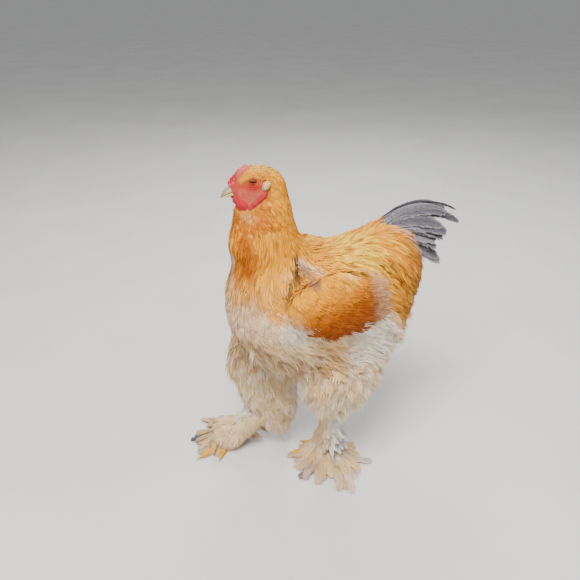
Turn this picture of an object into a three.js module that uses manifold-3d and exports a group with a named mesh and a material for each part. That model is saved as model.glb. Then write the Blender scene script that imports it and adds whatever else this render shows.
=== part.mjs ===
// A life-size brahma cockerel in mid stride, as a still model.
// Millimetres, +Z up. The bird faces -Y and its left side is +X. The origin is on the floor,
// under the middle of the whole bird.
import * as THREE from "three";
import { mergeVertices } from "three/addons/utils/BufferGeometryUtils.js";
import Module from "manifold-3d";

const wasm = await Module();
wasm.setup();

const point = (x, y, z) => new THREE.Vector3(x, y, z);
const degrees = THREE.MathUtils.degToRad;
const lerp = THREE.MathUtils.lerp;

// Repeatable random numbers from 0 to 1
function seeded(seed) {
  let state = seed;
  return () => {
    state = (state * 1664525 + 1013904223) % 4294967296;
    return state / 4294967296;
  };
}

// Driving dimensions
const GAP = 0.3; // between two touching pieces
const LEFT = 1;
const RIGHT = -1;
const HEAD_YAW = degrees(-12); // the head is turned a little to the bird's right
const HEAD_CENTRE = point(0, -118, 545);
const EYE_RADIUS = 5.6;
const CORE = 1.5; // height of the dense coat under the feathers over the form

// The left leg carries the bird, the right one has just stepped forward.
const LEGS = {
  left: {
    side: LEFT,
    thigh: point(47, 2, 205),
    hock: point(44, -12, 122),
    pad: point(14, -2, 9),
    boot: 15,
    bootFlare: 0.5,
    fanReach: 1,
  },
  right: {
    side: RIGHT,
    thigh: point(-50, -86, 170),
    hock: point(-50, -102, 98),
    pad: point(-84, -166, 9),
    boot: 18,
    bootFlare: 1.1,
    fanReach: 0.85,
  },
};

// Toes of a foot. The angle runs from straight ahead towards the bird's outer side.
const TOES = [
  { name: "inner", angle: -49, length: 48, claw: 10, radius: 5.6 },
  { name: "middle", angle: -15, length: 66, claw: 12, radius: 6.2 },
  { name: "outer", angle: 21, length: 50, claw: 10, radius: 5.6 },
  { name: "hind", angle: 172, length: 25, claw: 9, radius: 4.8 },
];

// Distance fields. Each takes a point and gives about how far it lies outside the shape.

function ellipsoid(centre, radii, turn = new THREE.Euler()) {
  const back = new THREE.Quaternion().setFromEuler(turn).invert();
  const inverse = point(1 / radii.x, 1 / radii.y, 1 / radii.z);
  return (p) => {
    const q = p.clone().sub(centre).applyQuaternion(back).multiply(inverse);
    const near = q.length();
    const slope = q.multiply(inverse).length();
    return slope > 0 ? (near * (near - 1)) / slope : -Math.min(radii.x, radii.y, radii.z);
  };
}

// A tapering limb from a to b, made narrower across the body by the factor slim.
function limb(a, b, radiusA, radiusB, slim = 1) {
  const axis = b.clone().sub(a);
  const lengthSquared = axis.lengthSq();
  return (p) => {
    const offset = p.clone().sub(a);
    const along = THREE.MathUtils.clamp(offset.dot(axis) / lengthSquared, 0, 1);
    offset.addScaledVector(axis, -along);
    offset.x /= slim;
    return offset.length() - lerp(radiusA, radiusB, along);
  };
}

// Joins fields, with a fillet of about the given size where they meet.
function blend(fillet, ...fields) {
  return (p) =>
    fields
      .map((field) => field(p))
      .reduce((a, b) => {
        const near = Math.max(fillet - Math.abs(a - b), 0) / fillet;
        return Math.min(a, b) - (near * near * fillet) / 4;
      });
}

// The direction straight out of a field.
function slopeOf(field, p, step = 0.5) {
  const sample = (x, y, z) => field(point(p.x + x, p.y + y, p.z + z));
  return point(
    sample(step, 0, 0) - sample(-step, 0, 0),
    sample(0, step, 0) - sample(0, -step, 0),
    sample(0, 0, step) - sample(0, 0, -step),
  ).normalize();
}

// Moves a point to the given height over a field's surface.
function settle(field, p, height) {
  const moved = p.clone();
  for (let pass = 0; pass < 4; pass++)
    moved.addScaledVector(slopeOf(field, moved), height - field(moved));
  return moved;
}

// What two fields have in common.
function common(a, b) {
  return (p) => Math.max(a(p), b(p));
}

// The point where a ray from inside a field leaves it.
function castOut(field, from, direction, reach = 400) {
  let inside = 0;
  let outside = reach;
  for (let pass = 0; pass < 26; pass++) {
    const middle = (inside + outside) / 2;
    if (field(from.clone().addScaledVector(direction, middle)) < 0) inside = middle;
    else outside = middle;
  }
  return from.clone().addScaledVector(direction, inside);
}

// Solids

function solidOf(geometry) {
  const bare = geometry.clone();
  bare.deleteAttribute("normal");
  bare.deleteAttribute("uv");
  const merged = mergeVertices(bare, 1e-4);
  return new wasm.Manifold(
    new wasm.Mesh({
      numProp: 3,
      vertProperties: merged.attributes.position.array,
      triVerts: new Uint32Array(merged.index.array),
    }),
  );
}

function solidFrom(points, faces) {
  const geometry = new THREE.BufferGeometry();
  const flat = points.flatMap((p) => [p.x, p.y, p.z]);
  geometry.setAttribute("position", new THREE.Float32BufferAttribute(flat, 3));
  geometry.setIndex(faces);
  const made = solidOf(geometry);
  if (made.volume() >= 0) return made;
  geometry.setIndex(faces.toReversed());
  return solidOf(geometry);
}

// Triangles over rings of points that are closed by one point at each end.
function ringFaces(rings, sides) {
  const faces = [];
  const at = (ring, side) => 1 + ring * sides + (side % sides);
  const last = 1 + rings * sides;
  for (let side = 0; side < sides; side++) {
    faces.push(0, at(0, side), at(0, side + 1));
    faces.push(last, at(rings - 1, side + 1), at(rings - 1, side));
    for (let ring = 0; ring < rings - 1; ring++) {
      faces.push(at(ring, side), at(ring + 1, side), at(ring + 1, side + 1));
      faces.push(at(ring, side), at(ring + 1, side + 1), at(ring, side + 1));
    }
  }
  return faces;
}

// The surface of a field seen from a centre inside it, as rings of points round a pole axis.
function starSolid(field, centre, { rings, sides, axis = point(0, 0, 1), grow = 0 }) {
  const turn = new THREE.Quaternion().setFromUnitVectors(point(0, 0, 1), axis);
  const grown = (p) => field(p) - grow;
  const cast = (tilt, round) => {
    const flat = Math.sin(tilt);
    const direction = point(flat * Math.cos(round), flat * Math.sin(round), Math.cos(tilt));
    return castOut(grown, centre, direction.applyQuaternion(turn));
  };
  const points = [cast(0, 0)];
  for (let ring = 1; ring < rings; ring++)
    for (let side = 0; side < sides; side++)
      points.push(cast((Math.PI * ring) / rings, (2 * Math.PI * side) / sides));
  points.push(cast(Math.PI, 0));
  return solidFrom(points, ringFaces(rings - 1, sides));
}

// A tapering rod of oval section along a smooth line. Each station has its middle at, and its
// half sizes wide and high.
function rod(stations, { steps, sides, grow = 0, up = point(0, 0, 1) }) {
  const line = new THREE.CatmullRomCurve3(stations.map((s) => s.at));
  const sizes = new THREE.CatmullRomCurve3(stations.map((s) => point(s.wide, s.high, 0)));
  const rim = [];
  for (let step = 0; step <= steps; step++) {
    const t = step / steps;
    const tangent = line.getTangent(t);
    const across = tangent.clone().cross(up).normalize();
    const over = across.clone().cross(tangent).normalize();
    const size = sizes.getPoint(t);
    const end = step === 0 ? -grow : step === steps ? grow : 0;
    for (let side = 0; side < sides; side++) {
      const angle = (2 * Math.PI * side) / sides;
      rim.push(
        line
          .getPoint(t)
          .addScaledVector(tangent, end)
          .addScaledVector(across, Math.cos(angle) * (size.x + grow))
          .addScaledVector(over, Math.sin(angle) * (size.y + grow)),
      );
    }
  }
  const cap = grow + 0.05;
  const first = line.getPoint(0).addScaledVector(line.getTangent(0), -cap);
  const last = line.getPoint(1).addScaledVector(line.getTangent(1), cap);
  return solidFrom([first, ...rim, last], ringFaces(steps + 1, sides));
}

// Feathers and locks. Their outline gives the share of the full width from root to tip.
const HACKLE = { outline: [0.6, 1, 0.85, 0.16], thickRoot: 2.2, thickTip: 0.8 };
const QUILL = { outline: [0.6, 1, 0.95, 0.5], thickRoot: 2.2, thickTip: 0.9 };
const COVERT = { outline: [0.7, 1, 0.55], thickRoot: 2.2, thickTip: 1 };
const LOCK = { outline: [0.75, 1, 0.5], thickRoot: 7, thickTip: 2.5 };

// One feather through frames, each with a middle, the direction across and a half width. Both of
// its faces are split into triangles the same way.
function blade(frames, { thickRoot, thickTip }, grow) {
  const last = frames.length - 1;
  const points = frames.flatMap(({ middle, across, half }, i) => {
    const ahead = frames[Math.min(i + 1, last)].middle.clone();
    ahead.sub(frames[Math.max(i - 1, 0)].middle).normalize();
    const over = across.clone().cross(ahead).normalize();
    const thick = lerp(thickRoot, thickTip, i / last) / 2 + grow;
    const end = i === 0 ? -grow : i === last ? grow : 0;
    const corners = [[-1, -1], [1, -1], [1, 1], [-1, 1]];
    return corners.map(([x, z]) =>
      middle
        .clone()
        .addScaledVector(ahead, end)
        .addScaledVector(across, x * (half + grow))
        .addScaledVector(over, z * thick),
    );
  });
  const faces = [0, 2, 1, 0, 3, 2];
  for (let i = 0; i < last; i++)
    for (let side = 0; side < 4; side++) {
      const next = (side + 1) % 4;
      const [a, b, c, d] = [4 * i + side, 4 * i + next, 4 * i + 4 + next, 4 * i + 4 + side];
      if (side < 2) faces.push(a, b, c, a, c, d);
      else faces.push(a, b, d, b, c, d);
    }
  const end = 4 * last;
  faces.push(end, end + 1, end + 2, end, end + 2, end + 3);
  return solidFrom(points, faces);
}

// A feather that lies on a coat. It starts under the surface at root, follows the flow, which
// gives the direction of growth at a point, and soon lies over the surface, at the height lift
// at its tip and a little lower before.
function laid(coat, root, { kind, flow, length, width, lift, sink = 3 }, grow = 0) {
  const { outline } = kind;
  const steps = outline.length - 1;
  const frames = [];
  let place = settle(coat, root, -sink);
  for (let i = 0; i <= steps; i++) {
    const normal = slopeOf(coat, place);
    const ahead = flow(place);
    ahead.addScaledVector(normal, -ahead.dot(normal)).normalize();
    const across = ahead.clone().cross(normal).normalize();
    frames.push({ middle: place, across, half: (width / 2) * outline[i] });
    const next = place.clone().addScaledVector(ahead, length / steps);
    place = settle(coat, next, lerp(0.6 * lift, lift, i / (steps - 1)));
  }
  return blade(frames, kind, grow);
}

// A feather in free air. It leaves its root along start and bends towards bend by the share curl;
// face is the direction across it.
function free(root, { kind, start, bend, curl, length, width, face }, grow = 0) {
  const { outline } = kind;
  const steps = outline.length - 1;
  const frames = [];
  const place = root.clone();
  for (let i = 0; i <= steps; i++) {
    const ahead = start.clone().addScaledVector(bend, curl * (i / steps)).normalize();
    const across = face.clone().addScaledVector(ahead, -face.dot(ahead)).normalize();
    frames.push({ middle: place.clone(), across, half: (width / 2) * outline[i] });
    place.addScaledVector(ahead, length / steps);
  }
  return blade(frames, kind, grow);
}

// Evenly spaced shares from 0 to 1
function shares(count) {
  return Array.from({ length: count }, (_, i) => i / (count - 1));
}

function sphere(centre, radius, sides) {
  const ball = new THREE.SphereGeometry(radius, sides, Math.round(sides * 0.6));
  ball.translate(centre.x, centre.y, centre.z);
  return solidOf(ball);
}

function union(solids) {
  return wasm.Manifold.union(solids);
}

// The largest closed surface of a solid.
function largest(solid) {
  return solid.decompose().reduce((a, b) => (a.volume() > b.volume() ? a : b));
}

// Everything on the side of a plane that its normal points to.
function halfSpace(origin, normal, size = 900) {
  const box = new THREE.BoxGeometry(size, size, size);
  box.translate(0, 0, size / 2);
  box.applyQuaternion(new THREE.Quaternion().setFromUnitVectors(point(0, 0, 1), normal));
  box.translate(origin.x, origin.y, origin.z);
  return solidOf(box);
}

const UNDER_FLOOR = halfSpace(point(0, 0, 0), point(0, 0, -1));

// Form of the trunk, neck, head and thighs, as one flowing shape

const headTurn = new THREE.Quaternion().setFromAxisAngle(point(0, 0, 1), HEAD_YAW);
const headEuler = new THREE.Euler(0, 0, HEAD_YAW);
// A place in the head's own frame, measured from the middle of the skull.
const onHead = (x, y, z) => point(x, y, z).applyQuaternion(headTurn).add(HEAD_CENTRE);
const headDirection = (x, y, z) => point(x, y, z).normalize().applyQuaternion(headTurn);

const skull = blend(
  7,
  ellipsoid(onHead(0, -2, 4), point(23.5, 35, 29), headEuler),
  ellipsoid(onHead(0, -26, 3), point(14, 20, 17), headEuler),
  ellipsoid(onHead(12, -16, -8), point(10, 19, 14), headEuler),
  ellipsoid(onHead(-12, -16, -8), point(10, 19, 14), headEuler),
);

const NECK_LINE = [
  { at: point(0, -90, 396), radius: 70 },
  { at: point(0, -109, 462), radius: 52 },
  { at: point(0, -114, 505), radius: 41.5 },
  { at: point(-1, -108, 534), radius: 28 },
];
const NECK_SLIM = 0.88;
const neckLimbs = NECK_LINE.slice(1).map((b, i) =>
  limb(NECK_LINE[i].at, b.at, NECK_LINE[i].radius, b.radius, NECK_SLIM),
);
const neckField = blend(12, ...neckLimbs);

const trunkField = blend(
  34,
  ellipsoid(point(0, -84, 348), point(86, 92, 98)),
  ellipsoid(point(0, -22, 290), point(80, 98, 88)),
  ellipsoid(point(0, 12, 356), point(86, 112, 78)),
  ellipsoid(point(0, 96, 368), point(64, 74, 80)),
  ellipsoid(point(0, 74, 288), point(74, 68, 84)),
);

const thighFields = {
  left: blend(
    18,
    ellipsoid(point(48, 6, 218), point(46, 76, 70)),
    ellipsoid(point(44, -4, 162), point(30, 46, 42)),
  ),
  right: blend(
    18,
    ellipsoid(point(-54, -87, 214), point(41, 78, 64)),
    ellipsoid(point(-50, -92, 144), point(31, 50, 54)),
    ellipsoid(point(-44, -76, 88), point(23, 32, 50)),
  ),
};

const bodyField = blend(20, trunkField, neckField);
const neckAndHeadField = blend(10, bodyField, skull);

// Cuts between the parts of the form. Each plane has the normal of its upper side.
const rising = (angle) => point(0, -Math.sin(degrees(angle)), Math.cos(degrees(angle)));
const NECK_CUT = { at: point(0, -172, 392), normal: rising(22) };
const JAW_CUT = { at: point(0, -165, 505), normal: rising(18) };
const CROWN_CUT = { at: onHead(0, -6, 27), normal: headDirection(0, 0.79, 0.61) };

function above(cut, gap = 0) {
  return halfSpace(cut.at.clone().addScaledVector(cut.normal, gap), cut.normal);
}

// Wings lie folded against the trunk.
const WING_CENTRE = { left: point(82, -28, 374), right: point(-82, -28, 374) };
const wingFields = Object.fromEntries(
  Object.entries(LEGS).map(([name, { side }]) => {
    const turn = new THREE.Euler(degrees(-8), 0, side * degrees(5));
    return [name, ellipsoid(WING_CENTRE[name], point(22, 84, 51), turn)];
  }),
);
const coatField = blend(14, bodyField, wingFields.left, wingFields.right);

// Feathers in rings round a form. Each tier lies on a ring at its height, tilted so that its front
// is lower by the tier's slope, and every second tier is turned by half a step.
function ringOfFeathers(tiers, { coat, axis, flow, kind, seed, grow }) {
  const random = seeded(seed);
  return tiers.flatMap((tier, order) => {
    const { z, slope = 0, count, from = 0, to = 360, sink, width } = tier;
    return Array.from({ length: count }, (_, i) => {
      const turn = degrees(lerp(from, to, (i + 0.5 * (order % 2)) / count));
      const direction = point(Math.cos(turn), Math.sin(turn), 0);
      const root = castOut(coat, axis(z + slope * Math.sin(turn)), direction);
      const length = tier.length * lerp(0.9, 1.1, random());
      const lift = tier.lift + random();
      return laid(coat, root, { kind, flow, length, width, lift, sink }, grow);
    });
  });
}

// Hackles of the neck, down to the cape over breast, shoulders and back.
const HACKLE_TIERS = [
  { z: 500, slope: 7, count: 7, length: 58, width: 27, lift: 3.4 },
  { z: 470, slope: 14, count: 7, length: 62, width: 32, lift: 4.4 },
  { z: 442, slope: 22, count: 8, length: 54, width: 36, lift: 5.4 },
];

function hackles(grow) {
  return ringOfFeathers(HACKLE_TIERS, {
    coat: bodyField,
    axis: (z) => point(0, lerp(-100, -113, (z - 420) / 90), z),
    flow: (p) => point(0.006 * p.x, 0.006 * (p.y + 112), -1),
    kind: HACKLE,
    seed: 11,
    grow,
  });
}

// Hackles of the saddle, in rows across the back that hang over the flanks. The spread is the
// angle from the middle of the back.
const SADDLE_ROWS = [
  { y: 8, spread: 40, count: 4, length: 72, width: 34, lift: 4.4 },
  { y: 48, spread: 66, count: 5, length: 78, width: 34, lift: 4.8 },
  { y: 88, spread: 84, count: 6, length: 74, width: 30, lift: 5.2 },
  { y: 120, spread: 84, count: 4, length: 62, width: 30, lift: 5.6 },
];

function saddle(grow) {
  const random = seeded(23);
  const flow = (p) => point(0.004 * p.x, 0.95 - 0.005 * Math.abs(p.x), -0.25 - 0.01 * Math.abs(p.x));
  return SADDLE_ROWS.flatMap(({ y, spread, count, length, width, lift }) =>
    shares(count).map((share) => {
      const angle = degrees(lerp(-spread, spread, share));
      const root = castOut(coatField, point(0, y, 365), point(Math.sin(angle), 0, Math.cos(angle)));
      const size = { length: length * lerp(0.88, 1.12, random()), width, lift: lift + random() };
      return laid(coatField, root, { kind: HACKLE, flow, ...size }, grow);
    }),
  );
}

// Soft locks round the rear of the abdomen.
const ABDOMEN_TIERS = [
  { z: 304, count: 4, from: 36, to: 180, length: 58, width: 44, lift: 8, sink: 5 },
  { z: 262, count: 4, from: 16, to: 164, length: 50, width: 40, lift: 9, sink: 5 },
];

function abdomen(grow) {
  return ringOfFeathers(ABDOMEN_TIERS, {
    coat: bodyField,
    axis: (z) => point(0, 62, z),
    flow: (p) => point(0.003 * p.x, 0.2, -1),
    kind: LOCK,
    seed: 31,
    grow,
  });
}

function torso(grow = 0) {
  const form = starSolid(bodyField, point(0, 0, 335), {
    rings: 16,
    sides: 22,
    axis: point(0, 1, 0),
    grow: CORE + grow,
  });
  return union([form.subtract(above(NECK_CUT, grow)), ...saddle(grow), ...abdomen(grow)]);
}

function neck(grow = 0) {
  const bound = ellipsoid(point(0, -104, 460), point(110, 82, 130));
  const field = common(neckAndHeadField, bound);
  const form = starSolid(field, point(0, -108, 462), { rings: 14, sides: 16, grow: CORE + grow });
  const core = form.intersect(above(NECK_CUT, GAP - grow)).subtract(above(JAW_CUT, grow));
  return union([core, ...hackles(grow)]);
}

// Locks of the thighs, in rings that hang over each other.
const THIGH_TIERS = {
  left: [
    { z: 236, count: 5, length: 56, width: 48, lift: 7, sink: 5 },
    { z: 198, count: 6, length: 54, width: 44, lift: 8, sink: 5 },
    { z: 164, count: 4, length: 46, width: 42, lift: 9, sink: 5 },
  ],
  right: [
    { z: 236, count: 5, length: 56, width: 48, lift: 7, sink: 5 },
    { z: 198, count: 6, length: 52, width: 42, lift: 8, sink: 5 },
    { z: 152, count: 4, length: 48, width: 42, lift: 8, sink: 5 },
    { z: 102, count: 2, from: 50, to: 190, length: 44, width: 34, lift: 7, sink: 5 },
  ],
};

function thigh(name, grow = 0) {
  const { thigh: centre, hock, side } = LEGS[name];
  const field = thighFields[name];
  const form = starSolid(field, centre, { rings: 11, sides: 13, grow });
  const locks = ringOfFeathers(THIGH_TIERS[name], {
    coat: field,
    axis: (z) => centre.clone().setZ(z),
    flow: (p) => point(0.004 * (p.x - centre.x), 0.004 * (p.y - centre.y) + 0.1, -1),
    kind: LOCK,
    seed: 60 + side,
    grow,
  });
  return union([form, ...locks]);
}

// Head

const EYE_AT = (side) => onHead(side * 16.6, -14, 12);

function headForm(grow = 0) {
  const form = starSolid(neckAndHeadField, onHead(0, -4, 2), {
    rings: 13,
    sides: 16,
    axis: headDirection(0, 1, 0),
    grow,
  });
  const lids = [LEFT, RIGHT].map((side) => sphere(EYE_AT(side), EYE_RADIUS + 1.4 + grow, 10));
  return union([form, ...lids]).intersect(above(JAW_CUT, GAP - grow));
}

// The almond-shaped gap between the lids, cut straight in from the side.
function lidOpening(side) {
  const outline = new THREE.Shape();
  outline.moveTo(-5.4, -0.4);
  outline.quadraticCurveTo(-1, 5.4, 5.2, 0.6);
  outline.quadraticCurveTo(0, -5.8, -5.4, -0.4);
  const cut = new THREE.ExtrudeGeometry(outline, { depth: 12, bevelEnabled: false, curveSegments: 3 });
  const outward = headDirection(side, 0, 0);
  cut.applyMatrix4(new THREE.Matrix4().makeBasis(headDirection(0, side, 0), point(0, 0, 1), outward));
  const at = EYE_AT(side).addScaledVector(outward, 1.5);
  cut.translate(at.x, at.y, at.z);
  return solidOf(cut);
}

function face() {
  const cuts = [LEFT, RIGHT].flatMap((side) => [lidOpening(side), eye(side, GAP)]);
  return headForm().subtract(above(CROWN_CUT)).subtract(union(cuts));
}

function crown() {
  return headForm().intersect(above(CROWN_CUT, GAP));
}

function eye(side, grow = 0) {
  return sphere(EYE_AT(side), EYE_RADIUS + grow, 12);
}

// The bill. Its two halves meet along the line of the mouth.
function beakUpper(grow = 0) {
  const stations = [
    { at: onHead(0, -24, 3), wide: 9.5, high: 9 },
    { at: onHead(0, -37, 2), wide: 8.4, high: 7.6 },
    { at: onHead(0, -46, -0.5), wide: 6.2, high: 5.6 },
    { at: onHead(0, -54, -4.5), wide: 3.4, high: 3.4 },
    { at: onHead(0, -58.5, -10), wide: 1.0, high: 1.2 },
  ];
  const bill = rod(stations, { steps: 7, sides: 10, grow });
  if (grow > 0) return bill;
  const nostrils = [LEFT, RIGHT].map((side) => {
    const pit = new THREE.SphereGeometry(1, 7, 5);
    pit.scale(1.3, 2.6, 1.1);
    pit.applyQuaternion(headTurn);
    const at = onHead(side * 7.2, -42, 3);
    pit.translate(at.x, at.y, at.z);
    return solidOf(pit);
  });
  return bill.subtract(union(nostrils));
}

function beakLower(grow = 0) {
  const stations = [
    { at: onHead(0, -24, -7.4), wide: 8.2, high: 4.6 },
    { at: onHead(0, -37, -7.8), wide: 6.8, high: 3.8 },
    { at: onHead(0, -46, -9.0), wide: 4.6, high: 2.8 },
    { at: onHead(0, -53, -11.6), wide: 1.2, high: 1.0 },
  ];
  return rod(stations, { steps: 5, sides: 8, grow });
}

// The pea comb: three rows of small knobs on a low ridge, the middle row the highest.
const COMB_ROWS = [
  { x: -5.6, size: 2.7, height: 1.6 },
  { x: 0, size: 3.3, height: 4.6 },
  { x: 5.6, size: 2.7, height: 1.6 },
];
const COMB_KNOBS = 4;

function comb() {
  const slope = new THREE.Euler(degrees(38), 0, HEAD_YAW, "ZXY");
  const middle = onHead(0, -32, 22);
  const ridge = starSolid(ellipsoid(middle, point(7, 18, 7), slope), middle, { rings: 6, sides: 8 });
  const knobs = COMB_ROWS.flatMap(({ x, size, height }) =>
    Array.from({ length: COMB_KNOBS }, (_, i) => {
      const t = i / (COMB_KNOBS - 1);
      const swell = 0.75 + 0.45 * Math.sin(Math.PI * t);
      const at = onHead(x, lerp(-45, -19, t), lerp(12, 32.5, t) + height * swell);
      return sphere(at, size * swell, 5);
    }),
  );
  return union([ridge, ...knobs]);
}

// Wattles are small in this breed: one rounded flap on each side, below the gape.
function wattle(side) {
  const field = blend(
    4,
    ellipsoid(onHead(side * 8, -36, -22), point(3.8, 9.5, 11), headEuler),
    ellipsoid(onHead(side * 8, -33, -13), point(4.2, 9, 7), headEuler),
  );
  return starSolid(field, onHead(side * 8, -35, -18), { rings: 8, sides: 10 });
}

// A place on the side of the head, in the head's own frame.
function onCheek(side, y, z) {
  return castOut(neckAndHeadField, onHead(0, y, z), headDirection(side, 0, 0));
}

// The bare lobe under the ear, a narrow fold, and the pale tuft that covers the ear.
function earLobe(side) {
  const stations = [
    { at: onCheek(side, 5, -1), wide: 2.2, high: 2.6 },
    { at: onCheek(side, 3, -9), wide: 3.4, high: 4.4 },
    { at: onCheek(side, -4, -17), wide: 3.2, high: 4.0 },
    { at: onCheek(side, -12, -22), wide: 1.8, high: 2.2 },
  ];
  return rod(stations, { steps: 5, sides: 7, up: headDirection(side, 0, 0) });
}

function earTuft(side, grow = 0) {
  const at = onCheek(side, 3, 4);
  return starSolid(ellipsoid(at, point(4, 6.6, 5), headEuler), at, { rings: 6, sides: 8, grow });
}

// Feathers of a wing: the rounded bow and two rows of coverts lie on it, and the flights show
// below and behind them. Each row runs from its front to its rear root, in y and z.
const WING_ROWS = [
  { from: [-84, 386], to: [-34, 408], count: 3, length: 48, width: 33, lift: 3.2, drop: -0.5 },
  { from: [-78, 360], to: [-8, 392], count: 3, length: 56, width: 38, lift: 3.8, drop: -0.35 },
  { from: [-58, 344], to: [22, 376], count: 4, length: 58, width: 30, lift: 4.4, drop: -0.2 },
];

function wing(name) {
  const { side } = LEGS[name];
  const at = WING_CENTRE[name];
  const field = wingFields[name];
  const form = starSolid(field, at, { rings: 9, sides: 12, axis: point(0, 1, 0) });
  const random = seeded(40 + side);
  const feathers = WING_ROWS.flatMap(({ from, to, count, length, width, lift, drop }) =>
    shares(count).map((share) => {
      const inside = point(at.x, lerp(from[0], to[0], share), lerp(from[1], to[1], share));
      const root = castOut(field, inside, point(side, 0, 0));
      const size = { length: length * lerp(0.9, 1.1, random()), width, lift: lift + 0.5 * random() };
      return laid(field, root, { kind: COVERT, flow: () => point(0, 1, drop), ...size });
    }),
  );
  return union([form, ...feathers]);
}

// The tail: tiers of quills on a short stump. The upper ones are long and bend down behind, the
// lower ones are short and spread to the sides. The fan is the angle between the outer quills.
const TAIL_TIERS = [
  { root: point(0, 112, 448), pitch: 34, curl: 1.8, fan: 16, count: 3, length: 156, width: 30 },
  { root: point(0, 114, 438), pitch: 25, curl: 1.4, fan: 34, count: 3, length: 124, width: 36 },
  { root: point(0, 118, 426), pitch: 10, curl: 1.3, fan: 44, count: 3, length: 98, width: 38 },
  { root: point(0, 122, 416), pitch: -4, curl: 1.0, fan: 40, count: 2, length: 76, width: 34 },
];

function tail() {
  const centre = point(0, 124, 430);
  const stump = starSolid(ellipsoid(centre, point(24, 44, 26)), centre, { rings: 8, sides: 10 });
  const random = seeded(53);
  const quills = TAIL_TIERS.flatMap(({ root, pitch, curl, fan, count, length, width }) =>
    shares(count).map((share) => {
      const aside = 2 * share - 1;
      const yaw = degrees((fan / 2) * aside);
      const rise = degrees(pitch - 5 * Math.abs(aside));
      const start = point(Math.sin(yaw) * Math.cos(rise), Math.cos(yaw) * Math.cos(rise), Math.sin(rise));
      const roof = degrees(50) * aside;
      return free(root.clone().add(point(12 * aside, 0, -6 * Math.abs(aside))), {
        kind: QUILL,
        start,
        bend: point(0, 0, -1),
        curl: curl * lerp(0.85, 1.15, random()),
        length: length * lerp(0.9, 1.1, random()),
        width,
        face: point(Math.cos(roof), 0, -Math.sin(roof)),
      });
    }),
  );
  return union([stump, ...quills]);
}

// Legs

function footDirection(leg, angle) {
  return point(leg.side * Math.sin(degrees(angle)), -Math.cos(degrees(angle)), 0);
}

function alongToe(leg, toe, along, z) {
  return leg.pad.clone().addScaledVector(footDirection(leg, toe.angle), along).setZ(z);
}

function toe(leg, one, grow) {
  const { length, radius } = one;
  const stations = [
    { at: alongToe(leg, one, 0, 11), wide: radius * 1.15, high: radius * 1.1 },
    { at: alongToe(leg, one, length * 0.3, radius * 1.2), wide: radius, high: radius },
    { at: alongToe(leg, one, length * 0.6, radius * 0.92), wide: radius * 0.95, high: radius * 0.95 },
    { at: alongToe(leg, one, length * 0.88, radius * 0.8), wide: radius * 0.84, high: radius * 0.84 },
    { at: alongToe(leg, one, length, radius * 0.8), wide: radius * 0.45, high: radius * 0.5 },
  ];
  return rod(stations, { steps: 4, sides: 7, grow });
}

function claw(leg, one) {
  const { radius } = one;
  const start = one.length - 3;
  const half = start + one.claw * 0.5;
  const tip = start + one.claw;
  const stations = [
    { at: alongToe(leg, one, start, radius * 0.9), wide: radius * 0.4, high: radius * 0.44 },
    { at: alongToe(leg, one, half, radius * 0.85), wide: radius * 0.34, high: radius * 0.36 },
    { at: alongToe(leg, one, tip, radius * 0.4), wide: 0.4, high: 0.4 },
  ];
  return rod(stations, { steps: 2, sides: 5 });
}

// The fan of feathers over the outer side of a foot: how far it reaches at each angle.
const FAN_RIM = new THREE.SplineCurve(
  [[-6, 78], [30, 88], [67, 97], [102, 122], [128, 88], [154, 60]].map(
    ([angle, reach]) => new THREE.Vector2(angle, reach),
  ),
);
const FAN_COUNT = 7;
const FAN_FEATHER = { outline: [0.2, 0.7, 1, 0.6], width: 33, thickRoot: 2.4, thickTip: 1 };

function footFan(leg, grow) {
  const random = seeded(80 + leg.side);
  const { outline, width } = FAN_FEATHER;
  return shares(FAN_COUNT).map((share, i) => {
    const { x: angle, y } = FAN_RIM.getPoint(share);
    const reach = y * leg.fanReach * lerp(0.92, 1.05, random());
    const out = footDirection(leg, angle);
    const across = footDirection(leg, angle + 90);
    const arch = i % 2 ? 3 : 6;
    const frames = outline.map((part, step) => {
      const t = step / (outline.length - 1);
      const height = lerp(9, 0.9, t) + arch * Math.sin(Math.PI * t);
      const middle = leg.pad.clone().setZ(0).addScaledVector(out, lerp(10, reach, t)).setZ(height);
      return { middle, across, half: (width / 2) * part };
    });
    return blade(frames, FAN_FEATHER, grow);
  });
}

// Feathers down the outer side of a shank, in rows that spread outwards over each other.
const BOOT_ROWS = 2;
const BOOT_FEATHERS = 4;

function boot(leg, grow) {
  const random = seeded(70 + leg.side);
  return shares(BOOT_ROWS).flatMap((down) =>
    shares(BOOT_FEATHERS).map((round) => {
      const turn = degrees(lerp(-100, 100, round));
      const out = point(leg.side * Math.cos(turn), Math.sin(turn), 0);
      const root = leg.hock.clone().lerp(leg.pad, lerp(0.16, 0.5, down));
      root.addScaledVector(out, leg.boot - 6);
      return free(
        root,
        {
          kind: COVERT,
          start: out.clone().multiplyScalar(leg.bootFlare).add(point(0, 0, -1)),
          bend: out,
          curl: 0.4,
          length: lerp(48, 42, down) * lerp(0.9, 1.1, random()),
          width: 27,
          face: point(-out.y, out.x, 0),
        },
        grow,
      );
    }),
  );
}

function shank(leg, grow = 0) {
  const stations = [-0.12, 0.3, 0.7, 0.92].map((t) => {
    const radius = lerp(leg.boot - 2, leg.boot, t);
    return { at: leg.hock.clone().lerp(leg.pad, t), wide: radius, high: radius };
  });
  const form = rod(stations, { steps: 4, sides: 9, grow, up: point(0, 1, 0) });
  return union([form, ...boot(leg, grow)]).subtract(UNDER_FLOOR);
}

function foot(leg, grow = 0) {
  const pad = sphere(leg.pad.clone().setZ(8), 11 + grow, 10);
  const toes = TOES.map((one) => toe(leg, one, grow));
  return union([pad, ...toes, ...footFan(leg, grow)]).subtract(UNDER_FLOOR);
}

// Assembly: each node is cut clear of the ones it grows from.

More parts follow.
